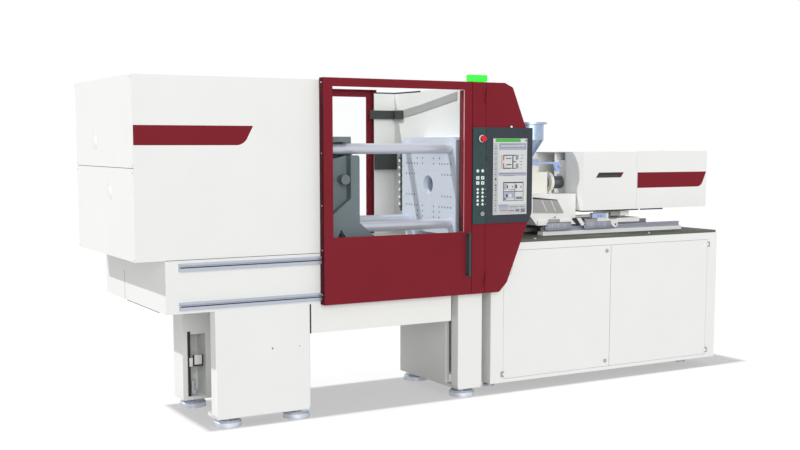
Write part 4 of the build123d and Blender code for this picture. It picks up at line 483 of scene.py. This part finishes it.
# Fixed platen: a steel casting with a milled front, nickel plated and dull, with tapped holes for
# moulds. The face is a cool pale blue-grey with milling lines, matt enough to take shadows.
GRID = 35.0
GRID_ROWS = {2: (5, 6, 7, 8), 4: (2, 4, 5, 6, 7, 8), 5: (2, 4), 6: (2, 4)}     # steps off the axis
MOUTH_RADIUS = 6.6
milled_nickel = drawn_metal("nickel_plated_milled_steel", "#dee6f1", "#d3dbe8", 0.55, (0, 1, 0), 0.2)
dress(milled_nickel, "fixed_platen")
(platen_left, platen_front, _), (_, platen_back, _) = corners("fixed_platen")
axis_y = (platen_front + platen_back) / 2
axis_z = 1365.0
# The dark discs set in the mouths of the tapped holes are painted shade.
tapped_hole_painted_shade = rubber("painted_shade_in_tapped_holes", "#4b5468", 0.4)
bm = bmesh.new()
for row, columns in GRID_ROWS.items():
    for column in columns:
        for side_y in (-1, 1):
            for side_z in (-1, 1):
                mouth = (platen_left + 2.5, axis_y + side_y * column * GRID, axis_z + side_z * row * GRID)
                round_bar(bm, mouth, (-1, 0, 0), MOUTH_RADIUS, 1.2, 8)
finish_piece("platen_hole_painted_shade", bm, tapped_hole_painted_shade, "machine_frame")

# Tie bars and ejector rod: ground and hard-chromed steel, satin along their length.
# Their nuts and the toggle's working parts are oiled tool steel.
chromed = drawn_metal("ground_hard_chrome", "#cfd2dd", "#c5c8d3", 0.34, (1, 0, 0), 0.3)
dress(chromed, "tie_bars", "ejector_rod")
tool_steel = plated_steel("oiled_tool_steel", "#8b8d92", "#7d8086", 0.36)
dress(tool_steel, "tie_bar_nuts", "crosshead", "upper_crosshead_links", "lower_crosshead_links",
      "door_runners", "screw", "barrel")

# Moving platen, end platen, cylinder and links: grey iron castings, sprayed in a blue-grey enamel.
# The sand-cast skin shows as a soft roughness under the paint.
cast_enamel = powder_coat("blue_grey_enamel_on_casting", "#717d81", "#69757a", 0.50, 0.35, 5.0, 0.10)
dress(cast_enamel, "moving_platen", "end_platen", "clamp_cylinder", "upper_rear_links", "lower_rear_links",
      "upper_front_links", "lower_front_links")

# Lock housing, locking guide and cooling manifold behind the mould space: dark powder-coated steel,
# the manifold with a row of white plastic couplings.
MANIFOLD_ROWS = (1520.0, 1474.0, 1424.0, 1372.0, 1322.0, 1270.0, 1223.0)
COUPLING_HALF = 9
dark_coat = powder_coat("dark_grey_powder_coat", "#484b4a", "#424544", 0.5, 0.2)
dress(dark_coat, "guard_lock_box", "water_manifold")


def moulded(name, tone, second_tone, roughness, grain_mm=0.9, depth=0.03, shine=0.5):
    """Injection-moulded plastic with the fine leather of its mould."""
    finish, tree, surface, place = start_finish(name)
    tree.links.new(two_tones(tree, spread_of(tree, cloud(tree, place, 25), 0, 1), tone, second_tone),
                   surface.inputs["Base Color"])
    tree.links.new(spread_of(tree, cloud(tree, place, 9), roughness - 0.04, roughness + 0.05),
                   surface.inputs["Roughness"])
    raise_by(tree, surface, cloud(tree, place, grain_mm), depth)
    surface.inputs["Specular IOR Level"].default_value = shine
    return finish


white_nylon = moulded("moulded_white_nylon", "#f4f5f4", "#ecedec", 0.45)
(mani_left, mani_front, _), (mani_right, mani_back, _) = corners("water_manifold")
bm = bmesh.new()
for z in MANIFOLD_ROWS:
    slab(bm, (mani_left + 12, mani_front - 5, z - COUPLING_HALF),
         (mani_right - 12, mani_front + 1, z + COUPLING_HALF), 1.5)
    slab(bm, (mani_left - 5, mani_front + 6, z - COUPLING_HALF),
         (mani_left + 1, mani_back - 6, z + COUPLING_HALF), 1.5)
finish_piece("manifold_couplings", bm, white_nylon, "machine_frame")

# Rear guard wall: white coated sheet. A black edging runs along its top, a band of grey sheet crosses
# it on the slant as painted shadow, and a slot for the hoses is outlined by a pressed bead below the lock.
WALL_FACE_X = 117.0
WALL_SHEET_Y = 601.0
WALL_SEAM_Y = 235.0
WALL_SEAM_LOW = 1679
SHADOW_BAND_DEPTH = 6
BEAD_HALF = 1.8
SHADOW_BAND_CORNERS = ((457, 1822), (235, 1851), (-238, 1924), (-238, 1977), (235, 1903), (457, 1876))
SLOT_X = (-28.0, -5.0)
SLOT_Z = (1121.0, 1410.0)
(wall_left, _, _), (wall_right, wall_back, wall_high) = corners("rear_guard_panel")
bm = bmesh.new()
slab(bm, (wall_left, wall_back - 4.5, wall_high - 8), (wall_right, wall_back + 0.5, wall_high + 1.5), 0.8)
slab(bm, (wall_right - 4.5, WALL_SEAM_Y, wall_high - 9), (wall_right + 0.5, wall_back, wall_high + 1.5), 0.8)
finish_piece("rear_wall_edging", bm, rubber_and_shade_black, "machine_frame")
# One grey serves the slanted band, the wall's seam line and the slot bead; the band is painted shadow.
shadow_band_seam_bead_grey = powder_coat("painted_shadow_band_seam_bead_grey", "#b1b2b1", "#abacab", 0.5, 0.2)
bm = bmesh.new()
sheet = bm.faces.new([bm.verts.new((WALL_FACE_X * MM, y * MM, z * MM)) for y, z in SHADOW_BAND_CORNERS])
pushed = bmesh.ops.extrude_face_region(bm, geom=[sheet])
bmesh.ops.translate(bm, vec=(-SHADOW_BAND_DEPTH * MM, 0, 0),
                    verts=[g for g in pushed["geom"] if isinstance(g, bmesh.types.BMVert)])
slab(bm, (WALL_FACE_X - 0.7, WALL_SEAM_Y - 4, WALL_SEAM_LOW),
     (WALL_FACE_X + 0.3, WALL_SEAM_Y + 4, wall_high - 8))
for x in SLOT_X:
    slab(bm, (x - BEAD_HALF, WALL_SHEET_Y - 0.8, SLOT_Z[0]),
         (x + BEAD_HALF, WALL_SHEET_Y + 0.3, SLOT_Z[1]))
for z in SLOT_Z:
    slab(bm, (SLOT_X[0], WALL_SHEET_Y - 0.8, z - BEAD_HALF),
         (SLOT_X[1], WALL_SHEET_Y + 0.3, z + BEAD_HALF))
finish_piece("rear_wall_shadow_band_seam_bead", bm, shadow_band_seam_bead_grey, "machine_frame", False)

# Front guard door: folded steel, powder-coated wine red, with a clear polycarbonate pane slid in from
# behind. A rubber seal closes its back edge, and its handle is a moulded black grip.
red_coat = powder_coat("wine_red_powder_coat", "#80242f", "#7c222d", 0.50, 0.08)
dress(red_coat, "front_door", "rear_guard_door", "control_column", "control_wing")


def clear_pane(name):
    """Clear polycarbonate: light goes through, and its skin mirrors a little."""
    finish, tree, surface, place = start_finish(name)
    tree.nodes.remove(surface)
    through = add_node(tree, "ShaderNodeBsdfTransparent", None, {"Color": [0.995, 0.998, 0.998, 1]})
    haze = spread_of(tree, cloud(tree, place, 80), 0.02, 0.05)
    mirror = add_node(tree, "ShaderNodeBsdfGlossy", None, {"Color": [1, 1, 1, 1], "Roughness": haze})
    edge = add_node(tree, "ShaderNodeFresnel", None, {"IOR": 1.08})
    mixed = add_node(tree, "ShaderNodeMixShader", None,
                     {0: edge.outputs[0], 1: through.outputs[0], 2: mirror.outputs[0]})
    out = [n for n in tree.nodes if n.bl_idname == "ShaderNodeOutputMaterial"][0]
    tree.links.new(mixed.outputs[0], out.inputs["Surface"])
    return finish


polycarbonate = clear_pane("clear_polycarbonate_sheet")
dress(polycarbonate, "front_window", "rear_window")
black_nylon = moulded("moulded_black_nylon", "#303636", "#292e2e", 0.5)
dress(black_nylon, "door_handle")
WINDOW_RIGHT = -82.0
WINDOW_Z = (1083.0, 1968.0)
DOOR_SCREWS_Z = (1010, 1273, 1580)
_, (_, pane_back, _) = corners("front_window")
(door_left, door_front, door_low), (_, door_back, door_high) = corners("front_door")
# A dark wine strip down the door's narrow left side is painted shade.
door_edge_painted_shade = powder_coat("painted_shade_on_door_edge", "#4b141c", "#46121a", 0.55, 0.05)
bm = bmesh.new()
slab(bm, (door_left - 0.9, door_front + 3, door_low + 2),
     (door_left + 0.1, door_back - 2, door_high - 2), 0.4)
finish_piece("front_door_edge_painted_shade", bm, door_edge_painted_shade, "front_guard")
bm = bmesh.new()
for z in (door_low + 60, *DOOR_SCREWS_Z, door_high - 28):
    socket_screw(bm, (door_left - 0.9, door_front + 26, z), (-1, 0, 0), 4.5)
finish_piece("front_door_screws", bm, zinc_and_highlight_plate, "front_guard")
bm = bmesh.new()
slab(bm, (WINDOW_RIGHT - 0.2, pane_back + 0.5, WINDOW_Z[0] + 1),
     (WINDOW_RIGHT + 1.2, door_back - 9, WINDOW_Z[1] - 1), 0.3)
finish_piece("front_window_jamb", bm, red_coat, "front_guard")
bm = bmesh.new()
slab(bm, (WINDOW_RIGHT - 1.0, door_back - 9.5, WINDOW_Z[0] + 1),
     (WINDOW_RIGHT + 1.2, door_back - 1, WINDOW_Z[1] - 1), 0.3)
finish_piece("front_window_back_seal", bm, rubber_and_shade_black, "front_guard")
# A pale strip along the window's right edge is a painted highlight.
window_edge_highlight = moulded("painted_window_edge_highlight", "#d3a4a9", "#ca9ba0", 0.45)
bm = bmesh.new()
slab(bm, (WINDOW_RIGHT - 1.6, door_front - 0.4, WINDOW_Z[0]),
     (WINDOW_RIGHT + 0.8, door_front + 3.5, WINDOW_Z[1]), 0.3)
finish_piece("front_window_painted_highlight", bm, window_edge_highlight, "front_guard")

# Control column and key panel: a dark green-grey foil keyboard over sheet steel. The keys are pale
# film buttons; the emergency stop is a glossy red mushroom, and the mode switch a plated lock.
key_foil = moulded("green_grey_keyboard_foil", "#3a4e4e", "#374a4b", 0.50, 0.9, 0.03, 0.15)
dress(key_foil, "key_panel")
frame_foil = moulded("blue_grey_bezel_foil", "#3e444a", "#3a4046", 0.50, 0.9, 0.03, 0.15)
dress(frame_foil, "screen_panel")
key_film = moulded("pale_key_film", "#f2f8f7", "#e9f1f0", 0.45, 1.5, 0.01)
key_mark = rubber("printed_key_mark", "#3a4444", 0.5)
(_, panel_front, panel_low), (panel_right, _, panel_high) = corners("key_panel")
KEY_FACE_Y = -637.0
ROUND_KEY_RADIUS = 8.2
TOP_KEY_RADIUS = 10.0
KEY_COLUMNS = (15.0, 52.0)
ROUND_KEYS = [(x, z) for x in KEY_COLUMNS for z in (1349.0, 1327.0, 1302.0, 1278.0, 1254.0)]
TOP_KEYS = [(x, 1465.0) for x in KEY_COLUMNS]
SQUARE_KEYS = [(x, z) for x in KEY_COLUMNS for z in (1421.0, 1389.0)]
films = bmesh.new()
marks = bmesh.new()
for x, z in ROUND_KEYS + TOP_KEYS:
    radius = ROUND_KEY_RADIUS if (x, z) in ROUND_KEYS else TOP_KEY_RADIUS
    round_bar(films, (x, KEY_FACE_Y + 1.4, z), (0, -1, 0), radius, 2.0, 24, None, 0.6)
for x, z in SQUARE_KEYS:
    slab(films, (x - 11.5, KEY_FACE_Y - 0.6, z - 10.5), (x + 11.5, KEY_FACE_Y + 1.4, z + 10.5), 0.6)
for number, (x, z) in enumerate(SQUARE_KEYS + TOP_KEYS):
    if number == 1:
        slab(marks, (x - 4, KEY_FACE_Y - 0.9, z - 1), (x + 4, KEY_FACE_Y - 0.5, z + 1))
        slab(marks, (x - 1, KEY_FACE_Y - 0.9, z - 4), (x + 1, KEY_FACE_Y - 0.5, z + 4))
    elif number < 4:
        slab(marks, (x - 3, KEY_FACE_Y - 0.9, z - 5), (x + 3, KEY_FACE_Y - 0.5, z + 5))
    else:
        round_bar(marks, (x, KEY_FACE_Y - 0.5, z), (0, -1, 0), 2.0, 0.4, 12)
finish_piece("key_films", films, key_film, "machine_frame")
finish_piece("key_marks", marks, key_mark, "machine_frame", False)
bm = bmesh.new()
for x, z in (ROUND_KEYS[5], ROUND_KEYS[7], ROUND_KEYS[9]):
    slab(bm, (x + 13, panel_front - 0.35, z - 0.8), (x + 23, panel_front + 0.1, z + 0.8))
finish_piece("key_legend_dashes", bm, key_film, "machine_frame", False)
STOP_AT = (43.0, 1667.0)
COLLAR_RADIUS = 24.0
stop_red = moulded("glossy_red_button", "#dd0f1d", "#d40c1a", 0.22, 4.0, 0.004)
dress(stop_red, "emergency_stop")
bm = bmesh.new()
round_bar(bm, (STOP_AT[0], panel_front + 0.2, STOP_AT[1]), (0, -1, 0), COLLAR_RADIUS, 6.4, 32,
          COLLAR_RADIUS - 2.0, 0.8)
finish_piece("stop_collar", bm, white_nylon, "machine_frame")
dress(zinc_and_highlight_plate, "key_switch", "latch_upper", "latch_lower")
bm = bmesh.new()
slab(bm, (panel_right - 0.5, panel_front - 0.5, panel_low + 2),
     (panel_right + 0.9, panel_front + 2, panel_high - 2), 0.2)
seam_grey = rubber("panel_seam", "#76868a", 0.5)
finish_piece("panel_seam_line", bm, seam_grey, "machine_frame")

# Control wing: a white nylon plug closes the cable hole above the bezel, and four red caps are pressed
# into the mounting holes above it. Moulded, with a soft rounded rim.
WING_HOLES = [(x, z) for x in (131.5, 244.5) for z in (1832.0, 1944.0)]
WING_SKIN_Y = -627.5
WING_PLUG_X = 273.0
bm = bmesh.new()
_, (_, bezel_back, bezel_high) = corners("screen_panel")
round_bar(bm, (WING_PLUG_X, bezel_back - 3, bezel_high + 5), (0, -1, 0), 8.0, 5.0, 20, None, 1.0)
finish_piece("wing_plug", bm, white_nylon, "control_wing")
bm = bmesh.new()
for x, z in WING_HOLES:
    round_bar(bm, (x, WING_SKIN_Y + 3.5, z), (0, -1, 0), 9.4, 3.9, 20, None, 0.3)
finish_piece("wing_hole_caps", bm, red_coat, "control_wing")

# Touch screen: a liquid crystal panel behind coated glass. The picture shows a green header, a
# column of soft keys and two plain diagrams, with no lettering.


def lit_picture(name, tone, level=0.0):
    """Part of the screen's picture, under smooth glass."""
    finish, tree, surface, place = start_finish(name)
    dots = spread_of(tree, cloud(tree, place, 1.4, 0.0), 0, 1)
    shade = "#" + "".join(f"{max(0, int(tone[i:i + 2], 16) - 6):02x}" for i in (1, 3, 5))
    colour = two_tones(tree, dots, tone, shade)
    tree.links.new(colour, surface.inputs["Base Color"])
    surface.inputs["Roughness"].default_value = 0.30
    surface.inputs["Specular IOR Level"].default_value = 0.2
    surface.inputs["Emission Strength"].default_value = level
    tree.links.new(colour, surface.inputs["Emission Color"])
    return finish


screen_white = lit_picture("screen_white", "#d3d6d5", 0.05)
screen_pale = lit_picture("screen_pale_grey", "#bcc0c1", 0.04)
screen_lilac = lit_picture("screen_lilac_grey", "#a9abc0", 0.04)
screen_grey = lit_picture("screen_mid_grey", "#7f818c", 0.03)
screen_dark = lit_picture("screen_dark", "#3b3b50", 0.02)
screen_green = lit_picture("screen_green", "#52b24e", 0.08)
screen_rose = lit_picture("screen_rose", "#d3b3b5", 0.03)
dress(screen_white, "touch_screen")
(_, glass_front, _), (glass_right, _, _) = corners("touch_screen")
right = glass_right - 4
FIRST_LAYER = 0.12
LAYER_STEP = 0.06
# Each tile is left, bottom, right and top in mm. Each group lies a film above the one before it.
PICTURES = {
    "screen_header": (screen_green, ((150, 1646, 346, 1667),)),
    "screen_soft_keys": (screen_pale, (
        (136, 1188, 170, 1640), (176, 1188, right, 1246), (176, 1452, 180, 1640))),
    "screen_bands": (screen_lilac, (
        (180, 1596, right - 6, 1640), (176, 1431, right, 1446), (216, 1342, 240, 1380),
        (256, 1338, 304, 1346), (216, 1276, 300, 1326), (180, 1222, 250, 1242))),
    "screen_rose_parts": (screen_rose, (
        (192, 1476, 210, 1564), (190, 1193, 300, 1199), (232, 1482, 240, 1498), (232, 1542, 240, 1558))),
    "screen_greys": (screen_grey, (
        (176, 1446, right - 4, 1451), (180, 1612, right - 10, 1615), (180, 1626, 330, 1629),
        (right - 8, 1600, right - 4, 1640), (340, 1478, 352, 1482), (344, 1500, 360, 1504),
        (342, 1520, 358, 1524), (346, 1540, 366, 1544), (350, 1560, 372, 1563),
        (312, 1280, 362, 1296), (190, 1208, 250, 1213),
        (256, 1204, 300, 1210), (310, 1200, 340, 1216), (352, 1196, 384, 1218), (260, 1230, 330, 1234),
        (344, 1230, 380, 1234), (212, 1430, 300, 1433)) + tuple(
            (146, 1206 + 33 * n, 160, 1212 + 33 * n) for n in range(13)) + tuple(
            (150, 1220 + 33 * n, 157, 1225 + 33 * n) for n in range(13))),
    "screen_lines": (screen_dark, (
        (212, 1272, 216, 1391), (368, 1272, 371, 1391), (212, 1384, 371, 1391), (212, 1270, 371, 1273),
        (302, 1272, 305, 1388), (212, 1328, 371, 1332), (215, 1559, 280, 1565), (233, 1539, 274, 1544),
        (212, 1530, 218, 1565), (212, 1474, 218, 1510), (236, 1499, 274, 1505), (218, 1476, 276, 1482),
        (282, 1474, 290, 1565), (290, 1559, 314, 1564), (290, 1476, 314, 1481), (290, 1518, 312, 1523),
        (310, 1482, 316, 1508), (310, 1532, 316, 1558), (322, 1476, 328, 1508), (322, 1534, 328, 1566),
        (242, 1352, 250, 1372), (282, 1356, 290, 1364), (308, 1350, 320, 1374), (348, 1354, 356, 1364),
        (236, 1296, 248, 1312), (222, 1278, 230, 1290), (384, 1649, 392, 1662), (176, 1244, 250, 1247),
        (148, 1404, 158, 1416), (150, 1368, 160, 1376), (150, 1352, 158, 1360), (152, 1336, 160, 1342))),
    "screen_insets": (screen_white, (
        (252, 1348, 276, 1378), (322, 1340, 344, 1376), (254, 1292, 278, 1316), (240, 1277, 298, 1287),
        (312, 1303, 362, 1324), (296, 1490, 306, 1512), (296, 1530, 306, 1552), (190, 1618, 380, 1624),
        (242, 1508, 274, 1536))),
}
layer = FIRST_LAYER
for name, (finish, tiles) in PICTURES.items():
    bm = bmesh.new()
    for x0, z0, x1, z1 in tiles:
        slab(bm, (x0, glass_front - layer, z0), (x1, glass_front + 0.2, z1))
    finish_piece(name, bm, finish, "control_wing", False)
    layer += LAYER_STEP

# Status lamp: a box lens of green polycarbonate over light-emitting diodes, glowing evenly.
finish, tree, surface, place = start_finish("green_lit_polycarbonate")
glow_tone = two_tones(tree, spread_of(tree, cloud(tree, place, 30), 0, 1), "#2fee37", "#39f941")
tree.links.new(glow_tone, surface.inputs["Base Color"])
tree.links.new(glow_tone, surface.inputs["Emission Color"])
surface.inputs["Emission Strength"].default_value = 0.28
surface.inputs["Roughness"].default_value = 0.3
dress(finish, "status_lamp")

# Cabinet: hinge blocks of die-cast zinc, left bare, and the steel base plate on top, coated dark.
# A screw under a white cap holds that plate at either end of its front.
TRAY_SCREWS_X = (535.0, 1532.0)
hinge_zinc = plated_steel("die_cast_zinc", "#a9abad", "#9fa1a4", 0.5, 0.4)
dress(hinge_zinc, "cabinet_hinges")
tray_coat = powder_coat("dark_tray_powder_coat", "#65685f", "#5f6259", 0.55, 0.2)
dress(tray_coat, "base_tray")
(_, tray_front, _), (_, _, tray_high) = corners("base_tray")
bm = bmesh.new()
for x in TRAY_SCREWS_X:
    socket_screw(bm, (x, tray_front + 12, tray_high), (0, 0, 1), 8.5, 5.0)
finish_piece("tray_screws", bm, white_nylon, "machine_frame")

# Injection guides: ground steel rails on white-painted feet, and the runner blocks that ride on them.
# The lower part of each rail is coated, the upper part ground bright.
RAIL_PAINT_TOP = 1034.0
finish, tree, surface, place = start_finish("ground_rail_steel_on_painted_foot")
height = add_node(tree, "ShaderNodeSeparateXYZ", None, {"Vector": place}).outputs["Z"]
bare = add_node(tree, "ShaderNodeMath", {"operation": "GREATER_THAN"}, {0: height, 1: RAIL_PAINT_TOP * MM})
lines = cloud(tree, place, 1.5, 3.0, (0.02, 1, 1))
steel_tone = two_tones(tree, spread_of(tree, lines, 0, 1), "#a6a9b8", "#9a9dac")
tree.links.new(two_tones(tree, bare.outputs[0], "#eeefec", steel_tone), surface.inputs["Base Color"])
tree.links.new(spread_of(tree, lines, 0.38, 0.48), surface.inputs["Roughness"])
metal = add_node(tree, "ShaderNodeMath", {"operation": "MULTIPLY"}, {0: bare.outputs[0], 1: 0.3})
tree.links.new(metal.outputs[0], surface.inputs["Metallic"])
dress(finish, "injection_rails")
block_steel = plated_steel("ground_runner_steel", "#a2a5b3", "#9699a8", 0.42, 0.3)
dress(block_steel, "runner_blocks")

# Carriage trim: the ribbed grey side cover of the deck, grey bearing caps, a blue sensor block, a
# striped stop bumper and a white eye plate, all screwed to the operator side of the carriage.
(_, deck_front, _), _ = corners("carriage")
COVER_Y = deck_front + 8.0
SIDE_COVER = [(644, 1168), (904, 1160), (846, 1250), (644, 1268)]
TOP_GAP = [(640, 1262), (846, 1248), (846, 1253), (640, 1274)]
COVER_RIBS_X = (712.0, 788.0)
COVER_RIB_Z = (1175, 1252)
COVER_RIB_LEAN = 41
COVER_RIB_WIDTH = 5
cap_grey = powder_coat("light_grey_cover_coat", "#a9a9a8", "#a3a3a2", 0.5, 0.2)
bm = bmesh.new()
plate(bm, SIDE_COVER, COVER_Y, 10)
finish_piece("deck_side_cover", bm, cap_grey, "injection_unit", False)
bm = bmesh.new()
for x in COVER_RIBS_X:
    foot = x + COVER_RIB_LEAN
    plate(bm, [(foot, COVER_RIB_Z[0]), (foot + COVER_RIB_WIDTH, COVER_RIB_Z[0]),
               (x + COVER_RIB_WIDTH, COVER_RIB_Z[1]), (x, COVER_RIB_Z[1])], COVER_Y - 0.8, 2)
finish_piece("deck_cover_ribs", bm, white_coat, "injection_unit", False)
bm = bmesh.new()
plate(bm, TOP_GAP, COVER_Y - 0.8, 2)
finish_piece("deck_cover_top_gap", bm, rubber_and_shade_black, "injection_unit", False)
CAP_Y = deck_front - 0.5
BEARING_CAPS = ((772, 1096, 862, 1120), (1093, 1093, 1193, 1113))
HOOK_PLATE_X = (1316, 1404, 1484)     # its grey part ends where its white part begins
HOOK_PLATE_Z = (1128, 1160)
bm = bmesh.new()
for left, low, right, high in BEARING_CAPS:
    slab(bm, (left, CAP_Y - 1.5, low), (right, CAP_Y + 6, high), 0.8)
slab(bm, (HOOK_PLATE_X[0], CAP_Y + 1, HOOK_PLATE_Z[0]), (HOOK_PLATE_X[1], CAP_Y + 14, HOOK_PLATE_Z[1]), 1.0)
finish_piece("bearing_caps", bm, cap_grey, "injection_unit")
blue_cast = powder_coat("pale_blue_enamel", "#bccbf0", "#b4c4ea", 0.45, 0.2)
SENSOR_X = (1147, 1272)
SENSOR_Z = (1116, 1150)
SENSOR_SCREWS_X = (1200.0, 1226.0)
bm = bmesh.new()
slab(bm, (SENSOR_X[0], deck_front - 2.5, SENSOR_Z[0]), (SENSOR_X[1], deck_front + 1, SENSOR_Z[1]), 0.6)
finish_piece("sensor_block", bm, blue_cast, "injection_unit")
bm = bmesh.new()
for x in SENSOR_SCREWS_X:
    round_bar(bm, (x, deck_front - 2.4, 1130), (0, -1, 0), 5.0, 0.8, 14)
slab(bm, (1093, CAP_Y - 2, 1112), (1193, CAP_Y + 3, 1115.5), 0.5)
slab(bm, (757, CAP_Y - 2, 1094), (963, CAP_Y + 3, 1097), 0.5)
round_bar(bm, (820, CAP_Y - 0.2, 1134), (0, -1, 0), 5.5, 0.8, 14)
finish_piece("sensor_screws", bm, rubber_and_shade_black, "injection_unit")
BUMPER_LEFT = [(982, 1122), (1008, 1122), (1050, 1070), (1022, 1070), (982, 1108)]
BUMPER_RIGHT = [(1044, 1122), (1076, 1122), (1084, 1096), (1078, 1082)]
BUMPER_STRIPE = [(1008, 1123), (1044, 1123), (1078, 1082), (1074, 1069), (1050, 1069)]
bm = bmesh.new()
plate(bm, BUMPER_LEFT, CAP_Y - 1, 14, [0], 6)
plate(bm, BUMPER_RIGHT, CAP_Y - 1, 14, [1], 8)
finish_piece("stop_bumper", bm, rubber_and_shade_black, "injection_unit", False)
bm = bmesh.new()
plate(bm, BUMPER_STRIPE, CAP_Y - 1.5, 14)
finish_piece("stop_bumper_stripe", bm, white_coat, "injection_unit", False)
EYE_PLATE = [(1306, 1110), (1372, 1110), (1384, 1062), (1366, 1046), (1346, 1048), (1306, 1082)]
EYE_HOLE = (1362, 1067)
bm = bmesh.new()
plate(bm, EYE_PLATE, CAP_Y, 12, [3, 4], 8)
slab(bm, (HOOK_PLATE_X[1], CAP_Y + 1, HOOK_PLATE_Z[0]), (HOOK_PLATE_X[2], CAP_Y + 14, HOOK_PLATE_Z[1]), 1.0)
finish_piece("eye_plate", bm, white_coat, "injection_unit", False)
bm = bmesh.new()
round_bar(bm, (EYE_HOLE[0], CAP_Y + 0.2, EYE_HOLE[1]), (0, -1, 0), 7.0, 1.0, 16)
slab(bm, (1308, CAP_Y - 0.6, 1104), (1370, CAP_Y + 3, 1108), 0.4)
finish_piece("eye_plate_hole", bm, rubber_and_shade_black, "injection_unit")

# Side plates of the runner blocks: ground steel, screwed to the deck, each with three bright upright
# strips that are painted highlights. They show as grey-lilac blocks that ride along the guide.
BLOCK_SPANS = ((757, 963), (1093, 1319))
BLOCK_PLATE_Z = (1042, 1094)
BLOCK_HIGHLIGHT_Z = (1046, 1088)
BLOCK_LIP = 14
BLOCK_LIP_TOP = 1072
HIGHLIGHT_PLACES = (795.0, 850.0, 905.0, 1142.0, 1205.0, 1262.0)
HIGHLIGHT_WIDTH = 7
bm = bmesh.new()
for left, right in BLOCK_SPANS:
    slab(bm, (left, CAP_Y - 1, BLOCK_PLATE_Z[0]), (right, CAP_Y + 5, BLOCK_PLATE_Z[1]), 0.8)
    slab(bm, (left - BLOCK_LIP, CAP_Y + 3, BLOCK_HIGHLIGHT_Z[0]),
         (right + BLOCK_LIP, CAP_Y + 6, BLOCK_LIP_TOP), 0.8)
finish_piece("block_side_plates", bm, block_steel, "injection_unit")
bm = bmesh.new()
for x in HIGHLIGHT_PLACES:
    slab(bm, (x, CAP_Y - 1.8, BLOCK_HIGHLIGHT_Z[0]), (x + HIGHLIGHT_WIDTH, CAP_Y, BLOCK_HIGHLIGHT_Z[1]), 0.5)
finish_piece("block_side_painted_highlights", bm, zinc_and_highlight_plate, "injection_unit")

# Hoods: the pull handle of the front hood is a black moulded tray with a grey finger lip, glued in
# its pocket. A black strip along the open underside of both hoods is painted shade.
(front_left, front_front, front_low), (front_right, _, _) = corners("front_hood")
GRIP_CORNERS = [(1133, 1401), (1366, 1401), (1384, 1435), (1151, 1435)]
GRIP_LIP = [(1140, 1403), (1340, 1403), (1348, 1416), (1148, 1416)]
GRIP_MARK = [(1342, 1404), (1364, 1404), (1379, 1432), (1352, 1432)]
UNDERSIDE_SHADE_DROP = 9
REAR_UNDERSIDE_SHADE_END = 1752
bm = bmesh.new()
plate(bm, GRIP_CORNERS, front_front + 5, 18)
finish_piece("grip_tray", bm, rubber_and_shade_black, "front_hood", False)
bm = bmesh.new()
plate(bm, GRIP_LIP, front_front + 3.5, 3)
finish_piece("grip_lip", bm, dark_coat, "front_hood", False)
bm = bmesh.new()
plate(bm, GRIP_MARK, front_front + 3.2, 3)
finish_piece("grip_mark", bm, red_film, "front_hood", False)
bm = bmesh.new()
slab(bm, (front_left + 2, front_front + 1, front_low - UNDERSIDE_SHADE_DROP),
     (front_right - 4, front_front + 7, front_low + 0.5), 0.8)
slab(bm, (front_left + 2, front_front + 1, front_low - UNDERSIDE_SHADE_DROP),
     (front_left + 8, front_front + 120, front_low + 0.5), 0.8)
finish_piece("front_hood_underside_shade", bm, rubber_and_shade_black, "front_hood")
bm = bmesh.new()
slab(bm, (hood_left + 36, hood_front + 0.2, hood_low - UNDERSIDE_SHADE_DROP),
     (REAR_UNDERSIDE_SHADE_END, hood_front + 2.8, hood_low + 0.5), 0.4)
finish_piece("rear_hood_underside_shade", bm, rubber_and_shade_black, "injection_unit")

# Feed block and barrel flange: grey iron, machined where barrel and hopper sit, bolted to the deck.
# It is sprayed in a warm white enamel, a little yellower than the sheet round it.
cream_coat = powder_coat("warm_white_enamel", "#eeeee4", "#eaeae0", 0.4)
dress(cream_coat, "feed_block")

# Heater bands: stainless sheet over ceramic blocks, clamped round the barrel in a row.
# The heat has turned the sheet slightly brown.
band_sheet = plated_steel("stainless_heater_sheet", "#b4b0a6", "#a39c8e", 0.38, 0.8)
dress(band_sheet, "heater_bands")

# Hopper: stainless sheet, rolled, welded and brushed; its cool blue tint is a painted reflection of
# sky. It slides on a steel plate in pale blue enamel, which is screwed to the neck of the feed block.
hopper_sheet = plated_steel("brushed_stainless_painted_sky_tint", "#b0bfd8", "#9dadc6", 0.36, 0.8, (1, 1, 0.05))
dress(hopper_sheet, "hopper")
rail_enamel = powder_coat("pale_blue_rail_enamel", "#a9c0ec", "#a2b9e6", 0.45, 0.25)
dress(rail_enamel, "hopper_rail")
